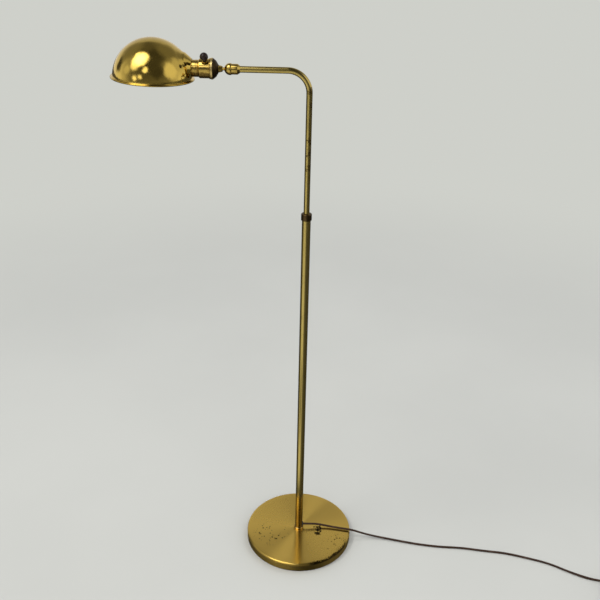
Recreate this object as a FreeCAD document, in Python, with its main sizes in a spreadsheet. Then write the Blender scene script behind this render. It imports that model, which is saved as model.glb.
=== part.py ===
"""Bridge floor lamp in polished brass.

A round weighted base carries a thick tube. A thinner tube slides and turns in it, bends over into a
short arm and ends in a slotted ball swivel, which holds a lamp socket and a half-round shade.

Frame: origin in the middle of the base's underside, on the floor. +Z is up, the arm points to -X,
and the cord leaves the foot of the stem to +X. Millimetres and degrees.
"""

import FreeCAD
import Part

import math
import os
import re

import Sketcher
from FreeCAD import Placement, Rotation, Vector

doc = FreeCAD.newDocument("bridge_floor_lamp")
sheet = doc.addObject("Spreadsheet::Sheet", "sizes")

# ---------------------------------------------------------------------------------------------
# Driving dimensions
# ---------------------------------------------------------------------------------------------

SIZES = [
    # clearances
    ("seat_gap", 0.3, "gap between neighbours that don't touch"),
    ("running_fit", 0.05, "radial clearance of a turning or sliding fit"),
    # base
    ("base_radius", 116.0, "outside of the base cover"),
    ("base_height", 20.0, "floor to the top of the base cover"),
    ("cover_wall", 1.0, "sheet thickness of the base cover"),
    ("cover_rounding", 3.5, "rounded upper edge of the base cover"),
    ("cover_lip", 4.0, "width of the edge crimped under the weight"),
    ("cover_lift", 1.0, "gap between the floor and the cover's lower edge"),
    ("recess_radius", 20.0, "recess for the nut in the weight"),
    ("recess_depth", 9.0, "depth of that recess"),
    ("nipple_radius", 5.0, "outside of the threaded nipple"),
    ("nipple_bore", 3.5, "radius of the nipple's bore"),
    ("nut_width", 17.0, "hexagon nut across its flats"),
    ("nut_height", 5.0, "height of the hexagon nut"),
    ("washer_radius", 14.0, "outside of the washer"),
    ("washer_height", 1.5, "thickness of the washer"),
    # stem
    ("bushing_height", 4.6, "threaded plug in the foot of the lower tube"),
    ("foot_ring_radius", 10.5, "outside of the ring at the foot"),
    ("foot_ring_height", 4.4, "height of that ring"),
    ("foot_ring_rounding", 1.7, "its rounded upper edge"),
    ("lower_radius", 8.25, "outside of the lower tube"),
    ("lower_wall", 1.2, "wall of the lower tube"),
    ("lower_length", 754.0, "length of the lower tube"),
    ("collar_radius", 10.0, "outside of the slide collar"),
    ("collar_height", 13.0, "height of the slide collar"),
    ("collar_lip", 4.0, "part of the collar above the lower tube"),
    ("collar_rounding", 1.8, "rounded upper edge of the collar"),
    ("bush_length", 24.0, "length of the friction bush"),
    ("bush_slot", 1.6, "width of the slot in the friction bush"),
    ("upper_radius", 5.5, "outside of the upper tube"),
    ("upper_wall", 1.0, "wall of the upper tube"),
    ("inserted_length", 334.0, "upper tube inside the lower tube, as photographed"),
    ("guide_length", 20.0, "length of the guide ring"),
    ("stop_ring_radius", 6.7, "outside of the stop rings"),
    ("stop_ring_length", 4.0, "length of a stop ring"),
    ("arm_height", 1036.5, "floor to the axis of the arm"),
    ("bend_radius", 38.0, "bend between the riser and the arm"),
    # swivel
    ("arm_reach", 119.8, "stem axis to the start of the swivel barrel"),
    ("barrel_radius", 8.95, "outside of the barrel's rear half"),
    ("barrel_nose", 5.9, "radius where the barrel's taper meets the arm"),
    ("barrel_taper", 4.2, "length of that taper"),
    ("barrel_length", 14.7, "length of the barrel's rear half"),
    ("tube_seat", 7.6, "depth of the arm tube in the barrel"),
    ("front_radius", 10.0, "outside of the barrel's round front half"),
    ("front_offset", 2.2, "front half's rear face to the ball's centre"),
    ("front_nose", 9.7, "ball's centre to the flat nose of the front half"),
    ("spigot_radius", 7.7, "spigot of the front half inside the rear half"),
    ("spigot_length", 3.6, "length of that spigot"),
    ("pin_radius", 0.9, "pin that keeps the two halves together"),
    ("pin_groove", 0.6, "depth of the pin's groove in the spigot"),
    ("ball_radius", 6.4, "ball of the swivel"),
    ("neck_radius", 2.6, "neck between the ball and the knuckle"),
    ("tilt_down", 70.0, "how far the neck tilts in the slot"),
    ("seat_length", 4.0, "length of the ball seat"),
    ("seat_bore", 2.6, "radius of the ball seat's bore"),
    ("spring_height", 1.2, "height of the dished spring washer"),
    ("spring_sheet", 0.5, "thickness of the spring washer"),
    ("knuckle_reach", 12.7, "ball's centre to the knuckle"),
    ("knuckle_length", 6.7, "length of the knuckle"),
    ("knuckle_small", 4.65, "radius of the knuckle's rear end"),
    ("knuckle_large", 6.35, "radius of the knuckle's front end"),
    ("knuckle_rounding", 1.0, "rounded rear edge of the knuckle"),
    ("bore_mouth", 4.4, "radius of the bore's mouth in the ball"),
    ("lock_screw_radius", 1.3, "screw in the knuckle"),
    ("lock_screw_end", 4.6, "head of that screw from the knuckle's axis"),
    ("lock_screw_lean", 40.0, "lean of that screw from upright, to the front"),
    ("journal_radius", 4.9, "journal that the socket cap turns on"),
    ("journal_length", 7.4, "length of the journal"),
    ("cap_nut_radius", 7.5, "nut on the end of the journal"),
    ("cap_nut_height", 1.9, "height of that nut"),
    ("wire_bore", 1.75, "radius of the lead's bore in the ball"),
    # socket
    ("cap_end", 6.9, "radius of the socket cap's rear end"),
    ("cap_shoulder", 13.3, "radius where the cap's steep part ends"),
    ("cap_shoulder_depth", 3.8, "cap's rear end to that radius"),
    ("cap_rounding", 3.3, "rounding of the cap's shoulder"),
    ("cap_radius", 18.0, "outside of the cap's rim"),
    ("cap_rim", 3.3, "width of the cap's rim"),
    ("cap_length", 12.6, "length of the socket cap"),
    ("cap_wall", 1.1, "wall of the cap"),
    ("cap_floor", 4.6, "thickness of the cap round the journal"),
    ("cap_overlap", 2.0, "socket shell inside the cap"),
    ("shell_wall", 0.6, "wall of the socket shell"),
    ("bead_radius", 17.4, "bead of the shell beside the cap"),
    ("bead_length", 3.0, "length of that bead"),
    ("shell_radius", 16.3, "wide part of the shell"),
    ("shell_length", 16.1, "length of the wide part"),
    ("shell_step", 2.5, "length of the step between wide and narrow"),
    ("shell_throat", 14.1, "narrow, threaded part of the shell"),
    ("throat_length", 25.0, "length of the narrow part"),
    ("liner_wall", 0.6, "wall of the insulating liner"),
    ("socket_body_length", 16.0, "insulating body of the socket"),
    ("screw_shell_wall", 0.35, "wall of the lamp screw shell"),
    ("screw_shell_radius", 13.2, "outside of the lamp screw shell"),
    ("screw_shell_length", 28.0, "length of the lamp screw shell"),
    ("contact_radius", 4.0, "centre contact"),
    ("contact_height", 1.2, "height of the centre contact"),
    ("terminal_spread", 7.0, "terminal screws from the socket's axis"),
    ("terminal_radius", 1.6, "shank of a terminal screw"),
    ("terminal_head", 2.8, "head of a terminal screw"),
    ("terminal_head_height", 1.6, "height of that head"),
    ("terminal_length", 7.0, "shank length of a terminal screw"),
    # switch
    ("switch_place", 9.5, "switch shaft before the end of the wide part of the shell"),
    ("switch_lean", 35.0, "lean of the switch shaft from upright, to the front"),
    ("shaft_radius", 2.0, "switch shaft"),
    ("shaft_start", 7.5, "socket axis to the inner end of the shaft"),
    ("shaft_in_knob", 5.0, "shaft inside the knob"),
    ("bushing_radius", 4.2, "bushing round the switch shaft"),
    ("bushing_stand", 1.9, "bushing above the shell"),
    ("knob_radius", 6.65, "round switch knob"),
    ("knob_distance", 27.0, "socket axis to the centre of the knob"),
    ("knob_shank_radius", 3.3, "shank of the knob"),
    # shade and bulb
    ("neck_place", 11.0, "end of the shade's neck from the shell's step"),
    ("neck_end", 16.0, "radius of the neck's end face"),
    ("neck_rounding", 1.2, "rounded edge of that face"),
    ("neck_waist", 21.2, "radius of the neck half way"),
    ("neck_waist_depth", 6.0, "end face to that radius"),
    ("neck_root", 25.6, "radius where the neck enters the dome"),
    ("neck_root_depth", 12.5, "end face to that radius"),
    ("shade_wall", 0.8, "sheet thickness of the shade"),
    ("dome_radius", 68.2, "outside of the dome"),
    ("dome_reach", 68.5, "neck's end face to the centre of the dome"),
    ("dome_drop", 18.5, "dome's centre below the socket's axis"),
    ("rim_rise", 1.5, "rim plane above the dome's centre"),
    ("rim_rake", 2.4, "tilt of the rim plane, far end up"),
    ("rim_radius", 72.0, "outside of the rolled rim"),
    ("rim_bead", 1.4, "radius of the rolled edge"),
    ("rim_flare", 3.0, "height of the flare above the rolled edge"),
    ("ring_radius", 18.0, "flange of the ring inside the neck"),
    ("ring_nose", 14.8, "radius of that ring against the neck's end face"),
    ("ring_length", 8.0, "length of that ring"),
    ("ring_flange", 2.4, "thickness of its flange"),
    ("bulb_cap_radius", 12.6, "screw cap of the bulb"),
    ("bulb_cap_length", 24.5, "length of the bulb's cap"),
    ("bulb_cap_wall", 0.4, "wall of that cap"),
    ("bulb_neck_radius", 12.0, "glass beside the cap"),
    ("bulb_neck_length", 6.5, "length of that part"),
    ("bulb_flare_end", 18.5, "end of the glass to its full width"),
    ("bulb_radius", 15.5, "glass at its widest"),
    ("bulb_length", 84.0, "length of the glass"),
    ("bulb_rounding", 14.8, "round end of the glass"),
    ("bulb_wall", 0.7, "glass thickness"),
    # leads and cord
    ("lead_radius", 1.55, "lead in the upper tube and the swivel"),
    ("tail_radius", 0.75, "one conductor in the socket cap"),
    ("cord_width", 5.2, "width of the flat cord"),
    ("exit_height", 9.5, "cord hole above the base"),
    ("cord_hole", 3.6, "radius of the cord hole"),
    ("grommet_radius", 4.8, "flange of the cord grommet"),
    ("grommet_stand", 2.05, "grommet in front of the tube"),
    ("grommet_inner", 0.9, "grommet behind the tube's wall"),
    ("coil_lead", 32.0, "straight run of the cord into the coil"),
    ("coil_radius", 28.5, "middle of the coil's turns"),
    ("coil_turns", 9.25, "turns of the coil"),
    ("coil_layers", 4, "layers of the coil"),
    ("coil_pitch", 5.75, "from turn to turn and from layer to layer"),
    ("plug_length", 30.0, "plug body"),
    ("plug_width", 25.0, "plug body, across the blades"),
    ("plug_height", 16.0, "plug body"),
    ("plug_rounding", 4.0, "rounded edges of the plug body"),
    ("blade_length", 16.5, "plug blade in front of the body"),
    ("blade_height", 6.35, "width of a blade"),
    ("blade_sheet", 1.5, "thickness of a blade"),
    ("blade_spread", 12.7, "from blade to blade"),
]

# Sizes that follow from the driving ones. Heights are above the floor, reaches are from the stem's
# axis along the arm.
DERIVED = [
    ("felt_height", "cover_lift + cover_wall", "felt pad, flush with the crimped lip"),
    ("weight_top", "base_height - cover_wall", "top of the weight"),
    ("washer_base", "felt_height + recess_depth - washer_height", "underside of the washer"),
    ("nut_base", "washer_base - nut_height", "underside of the nut"),
    ("lower_bore", "lower_radius - lower_wall", "bore of the lower tube"),
    ("lower_top", "base_height + lower_length", "top of the lower tube"),
    ("exit_level", "base_height + exit_height", "axis of the cord hole"),
    ("exit_reach", "lower_radius + grommet_stand", "stem axis to the grommet's face"),
    ("upper_foot", "lower_top - inserted_length", "lower end of the upper tube"),
    ("upper_bore", "upper_radius - upper_wall", "bore of the upper tube"),
    ("guide_foot", "upper_foot + stop_ring_length + seat_gap", "lower end of the guide ring"),
    ("stop_foot", "guide_foot + guide_length + seat_gap", "lower end of the upper stop ring"),
    ("tube_end", "arm_reach + tube_seat", "end of the arm tube"),
    ("barrel_front_face", "arm_reach + barrel_length", "end of the barrel's rear half"),
    ("swivel_reach", "barrel_front_face + seat_gap + front_offset", "centre of the ball"),
    ("socket_of_ball", "ball_radius + running_fit", "radius of the hollow round the ball"),
    ("knuckle_end", "swivel_reach + knuckle_reach + knuckle_length", "front of the knuckle"),
    ("cap_start", "knuckle_end + seat_gap", "rear end of the socket cap"),
    ("cap_rim_end", "cap_start + cap_length", "front end of the socket cap"),
    ("mouth_radius", "cap_radius - cap_wall", "shell inside the cap"),
    ("shell_start", "cap_rim_end - cap_overlap", "rear end of the socket shell"),
    ("bead_start", "cap_overlap + seat_gap", "shell's rear end to its bead"),
    ("wide_start", "bead_start + bead_length", "shell's rear end to its wide part"),
    ("wide_end", "wide_start + shell_length", "shell's rear end to its step"),
    ("throat_start", "wide_end + shell_step", "shell's rear end to its throat"),
    ("throat_end", "throat_start + throat_length", "whole length of the shell"),
    ("switch_reach", "shell_start + wide_end - switch_place", "switch shaft"),
    ("liner_radius", "shell_radius - shell_wall - seat_gap", "outside of the liner"),
    ("body_radius", "liner_radius - liner_wall - seat_gap", "outside of the socket body"),
    ("screw_reach", "shell_start + wide_end - 3 * cap_wall", "closed end of the screw shell"),
    ("body_reach", "screw_reach - socket_body_length", "rear face of the socket body"),
    ("neck_reach", "shell_start + throat_start + neck_place", "end face of the shade's neck"),
    ("dome_centre", "neck_reach + dome_reach", "centre of the dome"),
    ("dome_level", "arm_height - dome_drop", "height of the dome's centre"),
    ("bulb_tip", "screw_reach + screw_shell_wall + contact_height", "tip of the bulb's cap"),
    ("cord_radius", "cord_width / 2", "half the cord's width"),
]

for row, (alias, number, meaning) in enumerate(SIZES, start=1):
    sheet.set(f"A{row}", meaning)
    sheet.set(f"B{row}", str(number))
    sheet.setAlias(f"B{row}", alias)
for row, (alias, formula, meaning) in enumerate(DERIVED, start=len(SIZES) + 1):
    sheet.set(f"A{row}", meaning)
    sheet.set(f"B{row}", "=" + formula)
    sheet.setAlias(f"B{row}", alias)
doc.recompute()

ALIASES = {entry[0] for entry in SIZES + DERIVED}

# ---------------------------------------------------------------------------------------------
# Helpers
# ---------------------------------------------------------------------------------------------

# A piece turned about its own +Z points along the arm (-X) with this rotation.
AHEAD = Rotation(Vector(0, 1, 0), -90)
UPRIGHT = Rotation()


def in_sheet(expression):
    """The expression with each size's name pointing to its cell."""

    def cell(match):
        word = match.group(0)
        return f"sizes.{word}" if word in ALIASES else word

    return re.sub(r"[A-Za-z_]+", cell, expression)


def size(expression):
    """What an expression of sizes comes to."""
    return float(sheet.evalExpression(in_sheet(expression)))


def bind(item, **expressions):
    """Ties properties of a document object to the sheet."""
    for name, expression in expressions.items():
        item.setExpression(name, in_sheet(expression))
    return item


def place(item, x="0", y="0", z="0", turn=UPRIGHT):
    """Gives an object its place, tied to the sheet, and its rotation."""
    item.Placement = Placement(Vector(size(x), size(y), size(z)), turn)
    for axis, expression in (("x", x), ("y", y), ("z", z)):
        if expression != "0":
            item.setExpression(f"Placement.Base.{axis}", in_sheet(expression))
    return item


def along_arm(reach, z="arm_height"):
    """Place of a piece on the arm's axis that starts at a reach."""
    return {"x": f"-({reach})", "z": z, "turn": AHEAD}


def origin_plane(body, role):
    """One of a body's own origin planes."""
    return next(f for f in body.Origin.OriginFeatures if f.Role == role)


def new_sketch(body, name, role):
    """An empty sketch on one of a body's own planes."""
    sketch = body.newObject("Sketcher::SketchObject", name)
    sketch.AttachmentSupport = [(origin_plane(body, role), "")]
    sketch.MapMode = "FlatFace"
    return sketch


def fix_point(sketch, point, across, up):
    """Ties a sketch point to its two coordinates."""
    for kind, axis, expression in (("DistanceX", -2, across), ("DistanceY", -1, up)):
        if expression == "0":
            sketch.addConstraint(Sketcher.Constraint("PointOnObject", point, 1, axis))
            continue
        value = size(expression)
        index = sketch.addConstraint(Sketcher.Constraint(kind, -1, 1, point, 1, value))
        sketch.setExpression(f"Constraints[{index}]", in_sheet(expression))


def corner_arc(before, corner, after, radius):
    """Start, end, and centre of the arc that rounds a corner, and whether it turns left."""
    arrive = (corner - before).normalize()
    leave = (after - corner).normalize()
    left_turn = arrive.cross(leave).z > 0
    trim = radius * math.tan(arrive.getAngle(leave) / 2)
    start = corner - arrive * trim
    side = Vector(-arrive.y, arrive.x, 0) if left_turn else Vector(arrive.y, -arrive.x, 0)
    return start, corner + leave * trim, start + side * radius, left_turn


def outline(sketch, corners, closed=True):
    """Draws straight lines from corner to corner; a corner is (across, up) or (across, up, rounding).

    Each corner stays in the sketch as a point tied to the sheet, and each rounding as a tangent arc
    with a tied radius.
    """
    count = len(corners)
    spots = [Vector(size(corner[0]), size(corner[1]), 0) for corner in corners]
    marks = [sketch.addGeometry(Part.Point(spot), True) for spot in spots]
    for mark, corner in zip(marks, corners):
        fix_point(sketch, mark, corner[0], corner[1])
    arcs = {}
    for i, corner in enumerate(corners):
        if len(corner) == 3:
            radius = size(corner[2])
            start, end, centre, left_turn = corner_arc(
                spots[i - 1], spots[i], spots[(i + 1) % count], radius
            )
            first, last = (start, end) if left_turn else (end, start)
            angles = [math.atan2(p.y - centre.y, p.x - centre.x) for p in (first, last)]
            circle = Part.Circle(centre, Vector(0, 0, 1), radius)
            arc = sketch.addGeometry(Part.ArcOfCircle(circle, angles[0], angles[1]), False)
            arcs[i] = (arc, start, end, left_turn)
            index = sketch.addConstraint(Sketcher.Constraint("Radius", arc, radius))
            sketch.setExpression(f"Constraints[{index}]", in_sheet(corner[2]))
    for i in range(count if closed else count - 1):
        j = (i + 1) % count
        start = arcs[i][2] if i in arcs else spots[i]
        end = arcs[j][1] if j in arcs else spots[j]
        line = sketch.addGeometry(Part.LineSegment(start, end), False)
        if i in arcs:
            arc, _, _, left_turn = arcs[i]
            sketch.addConstraint(Sketcher.Constraint("Tangent", arc, 2 if left_turn else 1, line, 1))
            sketch.addConstraint(Sketcher.Constraint("PointOnObject", marks[i], 1, line))
        else:
            sketch.addConstraint(Sketcher.Constraint("Coincident", line, 1, marks[i], 1))
        if j in arcs:
            arc, _, _, left_turn = arcs[j]
            sketch.addConstraint(Sketcher.Constraint("Tangent", line, 2, arc, 1 if left_turn else 2))
            sketch.addConstraint(Sketcher.Constraint("PointOnObject", marks[j], 1, line))
        else:
            sketch.addConstraint(Sketcher.Constraint("Coincident", line, 2, marks[j], 1))


def turned(label, corners, **where):
    """A piece turned about its own +Z from corners of (radius, height) or (radius, height, rounding)."""
    body = doc.addObject("PartDesign::Body", label)
    sketch = new_sketch(body, f"{label}_outline", "XZ_Plane")
    outline(sketch, corners)
    revolution = body.newObject("PartDesign::Revolution", f"{label}_turned")
    revolution.Profile = sketch
    revolution.ReferenceAxis = (sketch, ["V_Axis"])
    revolution.Angle = 360
    body.Tip = revolution
    return place(body, **where)


def ring(label, outer, inner, length, **where):
    """A plain turned ring or tube."""
    corners = [(inner, "0"), (outer, "0"), (outer, length), (inner, length)]
    return turned(label, corners, **where)


def cylinder(label, radius, height, **where):
    item = doc.addObject("Part::Cylinder", label)
    bind(item, Radius=radius, Height=height)
    return place(item, **where)


def cone(label, radius_start, radius_end, height, **where):
    item = doc.addObject("Part::Cone", label)
    bind(item, Radius1=radius_start, Radius2=radius_end, Height=height)
    return place(item, **where)


def sphere(label, radius, **where):
    item = doc.addObject("Part::Sphere", label)
    bind(item, Radius=radius)
    return place(item, **where)


def box(label, length, width, height, **where):
    item = doc.addObject("Part::Box", label)
    bind(item, Length=length, Width=width, Height=height)
    return place(item, **where)


def cut(label, base, *tools):
    """The base without its tools."""
    item = doc.addObject("Part::Cut", label)
    item.Base = base
    item.Tool = tools[0] if len(tools) == 1 else fuse(f"{label}_cutters", *tools)
    return item


def fuse(label, *shapes):
    item = doc.addObject("Part::MultiFuse", label)
    item.Shapes = list(shapes)
    return item


def common(label, *shapes):
    item = doc.addObject("Part::MultiCommon", label)
    item.Shapes = list(shapes)
    return item


def group(label, *shapes):
    """Several equal solids in one sub-part."""
    item = doc.addObject("Part::Compound", label)
    item.Links = list(shapes)
    return item


def feature(label, shape):
    """A sub-part from a shape that is already in its place."""
    item = doc.addObject("Part::Feature", label)
    item.Shape = shape
    item.Placement = Placement()
    return item


def arc_edge(start, corner, end):
    """The arc from start to end that is tangent to both lines through the corner."""
    arrive = corner - start
    half_turn = arrive.getAngle(end - corner) / 2
    chord_middle = (start + end) * 0.5
    share = math.cos(half_turn) / (1 + math.cos(half_turn))
    middle = chord_middle + (corner - chord_middle) * share
    return Part.Arc(start, middle, end).toShape()


def rounded_edges(points, radii):
    """Straight runs between points, joined by tangent arcs of the given radii."""
    edges = []
    last = points[0]
    for before, corner, after, radius in zip(points, points[1:], points[2:], radii):
        arrive = (corner - before).normalize()
        leave = (after - corner).normalize()
        trim = radius * math.tan(arrive.getAngle(leave) / 2)
        start = corner - arrive * trim
        end = corner + leave * trim
        edges.append(Part.LineSegment(last, start).toShape())
        edges.append(arc_edge(start, corner, end))
        last = end
    edges.append(Part.LineSegment(last, points[-1]).toShape())
    return edges


def route_radii(points):
    """The largest even arc at each inner point of a free cord's route."""
    radii = []
    for before, corner, after in zip(points, points[1:], points[2:]):
        arrive = corner - before
        leave = after - corner
        turn = arrive.getAngle(leave)
        radii.append(0.45 * min(arrive.Length, leave.Length) / math.tan(turn / 2))
    return radii


def tube_along(name, edges, radius):
    """A round solid along tangent edges; its volume is compared with section times length."""
    path = Part.Wire(edges)
    start = edges[0].valueAt(edges[0].FirstParameter)
    heading = edges[0].tangentAt(edges[0].FirstParameter)
    section = Part.Wire([Part.Circle(start, heading, radius).toShape()])
    solid = path.makePipeShell([section], True, False)
    expected = math.pi * radius**2 * path.Length
    share = solid.Volume / expected
    print(f"{name}: length {path.Length:.1f}, volume {share:.4f} of section times length")
    if abs(share - 1) > 0.01:
        raise ValueError(f"{name}: the tube doesn't fill its path")
    return solid


# ---------------------------------------------------------------------------------------------
# Base
# ---------------------------------------------------------------------------------------------


def make_base():
    inner_wall = "base_radius - cover_wall"
    lip_edge = "base_radius - cover_lip"
    turned(
        "base_cover",
        [
            ("nipple_radius + seat_gap", "base_height"),
            ("nipple_radius + seat_gap", "weight_top"),
            (inner_wall, "weight_top", "cover_rounding - cover_wall"),
            (inner_wall, "felt_height"),
            (lip_edge, "felt_height"),
            (lip_edge, "cover_lift"),
            ("base_radius", "cover_lift", "cover_wall / 2"),
            ("base_radius", "base_height", "cover_rounding"),
        ],
    )
    weight_radius = f"{inner_wall} - seat_gap"
    turned(
        "base_weight",
        [
            ("nipple_radius + seat_gap", "felt_height + recess_depth"),
            ("recess_radius", "felt_height + recess_depth"),
            ("recess_radius", "felt_height"),
            (weight_radius, "felt_height"),
            (weight_radius, "weight_top", "cover_rounding - cover_wall + seat_gap"),
            ("nipple_radius + seat_gap", "weight_top"),
        ],
    )
    cylinder("felt_pad", f"{lip_edge} - seat_gap", "felt_height")
    ring("base_washer", "washer_radius", "nipple_radius + seat_gap", "washer_height", z="washer_base")
    hexagon = doc.addObject("Part::Prism", "base_nut_blank")
    hexagon.Polygon = 6
    bind(hexagon, Circumradius="nut_width / 2 / cos(30)", Height="nut_height")
    place(hexagon, z="nut_base")
    nut_hole = cylinder("base_nut_hole", "nipple_radius", "nut_height", z="nut_base")
    cut("base_nut", hexagon, nut_hole)
    ring(
        "threaded_nipple",
        "nipple_radius",
        "nipple_bore",
        "base_height + bushing_height - nut_base",
        z="nut_base",
    )


# ---------------------------------------------------------------------------------------------
# Stem: lower tube, collar, sliding upper tube with its arm
# ---------------------------------------------------------------------------------------------


def make_lower_stem():
    ring("foot_bushing", "lower_bore", "nipple_radius", "bushing_height", z="base_height")
    turned(
        "foot_ring",
        [
            ("lower_radius", "0"),
            ("foot_ring_radius", "0"),
            ("foot_ring_radius", "foot_ring_height", "foot_ring_rounding"),
            ("lower_radius", "foot_ring_height"),
        ],
        z="base_height",
    )
    blank = ring("lower_tube_blank", "lower_radius", "lower_bore", "lower_length", z="base_height")
    to_right = Rotation(Vector(0, 1, 0), 90)
    hole = cylinder(
        "cord_hole_cutter", "cord_hole", "2 * lower_radius", z="exit_level", turn=to_right
    )
    cut("lower_tube", blank, hole)
    make_grommet(to_right)
    turned(
        "slide_collar",
        [
            ("lower_radius", "0"),
            ("collar_radius", "0"),
            ("collar_radius", "collar_height", "collar_rounding"),
            ("upper_radius + seat_gap", "collar_height"),
            ("upper_radius + seat_gap", "collar_height - collar_lip"),
            ("lower_radius", "collar_height - collar_lip"),
        ],
        z="lower_top + collar_lip - collar_height",
    )
    bush = ring(
        "friction_bush_blank",
        "lower_bore",
        "upper_radius + running_fit",
        "bush_length",
        z="lower_top - bush_length",
    )
    slot = box(
        "friction_bush_slot",
        "bush_slot",
        "lower_radius",
        "bush_length",
        x="-bush_slot / 2",
        z="lower_top - bush_length",
    )
    cut("friction_bush", bush, slot)


def make_grommet(to_right):
    """The cord's grommet: a flange outside the tube, a sleeve through its wall and a bead inside."""
    flange = cylinder(
        "grommet_flange", "grommet_radius", "exit_reach", z="exit_level", turn=to_right
    )
    tube_outside = cylinder(
        "grommet_saddle", "lower_radius", "4 * grommet_radius", z="exit_level - 2 * grommet_radius"
    )
    saddle = cut("grommet_outer", flange, tube_outside)
    sleeve = cylinder(
        "grommet_sleeve",
        "cord_hole - running_fit",
        "lower_radius + grommet_stand / 2 - lower_bore + grommet_inner",
        x="lower_bore - grommet_inner",
        z="exit_level",
        turn=to_right,
    )
    bore = cylinder(
        "grommet_bore", "cord_radius + seat_gap / 2", "2 * lower_radius", z="exit_level", turn=to_right
    )
    cut("cord_grommet", fuse("grommet_solid", saddle, sleeve), bore)


def make_upper_stem():
    ring(
        "guide_ring",
        "lower_bore - running_fit",
        "upper_radius + running_fit",
        "guide_length",
        z="guide_foot",
    )
    for label, foot in (("stop_ring_lower", "upper_foot"), ("stop_ring_upper", "stop_foot")):
        ring(label, "stop_ring_radius", "upper_radius", "stop_ring_length", z=foot)

    body = doc.addObject("PartDesign::Body", "upper_tube")
    section = new_sketch(body, "upper_tube_section", "XY_Plane")
    for radius in ("upper_radius", "upper_bore"):
        circle = section.addGeometry(Part.Circle(Vector(), Vector(0, 0, 1), size(radius)), False)
        section.addConstraint(Sketcher.Constraint("Coincident", circle, 3, -1, 1))
        index = section.addConstraint(Sketcher.Constraint("Radius", circle, size(radius)))
        section.setExpression(f"Constraints[{index}]", in_sheet(radius))
    route = new_sketch(body, "upper_tube_route", "XZ_Plane")
    rise = "arm_height - upper_foot"
    outline(route, [("0", "0"), ("0", rise, "bend_radius"), ("tube_end", rise)], closed=False)
    pipe = body.newObject("PartDesign::AdditivePipe", "upper_tube_pipe")
    pipe.Profile = section
    pipe.Spine = (route, [])
    body.Tip = pipe
    place(body, z="upper_foot", turn=Rotation(Vector(0, 0, 1), 180))


# ---------------------------------------------------------------------------------------------
# Swivel between the arm and the socket
# ---------------------------------------------------------------------------------------------


def make_barrel():
    spigot_room = "spigot_radius + running_fit"
    deep = "barrel_length - spigot_length - seat_gap"
    rear = turned(
        "barrel_rear_blank",
        [
            ("upper_radius", "0"),
            ("barrel_nose", "0"),
            ("barrel_radius", "barrel_taper", "barrel_taper / 4"),
            ("barrel_radius", "barrel_length"),
            (spigot_room, "barrel_length"),
            (spigot_room, deep),
            ("socket_of_ball", deep),
            ("socket_of_ball", "tube_seat"),
            ("upper_radius", "tube_seat"),
        ],
        **along_arm("arm_reach"),
    )
    # The pin sits below, in the middle of the spigot's groove.
    pin_reach = "barrel_front_face - spigot_length / 2"
    pin_end = "spigot_radius - pin_groove / 2"
    cutter = cylinder(
        "swivel_pin_hole",
        "pin_radius",
        "barrel_radius",
        x=f"-({pin_reach})",
        z="arm_height - barrel_radius - seat_gap",
    )
    cut("barrel_rear", rear, cutter)
    cylinder(
        "swivel_pin",
        "pin_radius",
        f"barrel_radius - ({pin_end}) - seat_gap",
        x=f"-({pin_reach})",
        z="arm_height - barrel_radius + seat_gap",
    )
    make_barrel_front(pin_reach)
    seat_outer = "socket_of_ball - seat_gap"
    seat = ring(
        "ball_seat_blank",
        seat_outer,
        "seat_bore",
        "seat_length",
        **along_arm("tube_end + spring_height"),
    )
    hollow = sphere("ball_seat_hollow", "socket_of_ball", x="-swivel_reach", z="arm_height")
    cut("ball_seat", seat, hollow)
    spring_inner = "seat_bore + seat_gap"
    turned(
        "seat_spring",
        [
            (spring_inner, "spring_height - spring_sheet"),
            (seat_outer, "0"),
            (seat_outer, "spring_sheet"),
            (spring_inner, "spring_height"),
        ],
        **along_arm("tube_end"),
    )


def make_barrel_front(pin_reach):
    """Round front half with a hollow for the ball, a rear spigot and a slot for the tilting neck."""
    rear_face = "swivel_reach - front_offset"
    globe = sphere("front_globe", "front_radius", x="-swivel_reach", z="arm_height")
    trim = cylinder(
        "front_trim", "2 * front_radius", "front_offset + front_nose", **along_arm(rear_face)
    )
    shell = common("front_round", globe, trim)
    spigot = cylinder(
        "front_spigot",
        "spigot_radius",
        "spigot_length + front_offset",
        **along_arm(f"{rear_face} - spigot_length"),
    )
    hollow = sphere("front_hollow", "socket_of_ball", x="-swivel_reach", z="arm_height")
    way_in = cylinder(
        "front_way_in",
        "socket_of_ball",
        "2 * spigot_length + front_offset",
        **along_arm("swivel_reach - front_offset - 2 * spigot_length"),
    )
    groove = ring(
        "front_groove",
        "2 * spigot_radius",
        "spigot_radius - pin_groove",
        "2 * pin_radius + seat_gap",
        **along_arm(f"{pin_reach} - pin_radius - seat_gap / 2"),
    )
    slot_half = "neck_radius + seat_gap"
    ahead = cylinder("slot_ahead", slot_half, "2 * front_radius", **along_arm("swivel_reach"))
    down = cylinder(
        "slot_down",
        slot_half,
        "2 * front_radius",
        x="-swivel_reach",
        z="arm_height",
        turn=Rotation(Vector(0, 1, 0), -90 - size("tilt_down")),
    )
    wedge = doc.addObject("Part::Cylinder", "slot_wedge")
    bind(wedge, Radius="2 * front_radius", Height=f"2 * ({slot_half})", Angle="tilt_down")
    place(
        wedge,
        x="-swivel_reach",
        y=slot_half,
        z="arm_height",
        turn=Rotation(Vector(0, 0, 1), 180) * Rotation(Vector(1, 0, 0), -90),
    )
    cut("barrel_front", fuse("front_solid", shell, spigot), hollow, way_in, groove, ahead, down, wedge)


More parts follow.
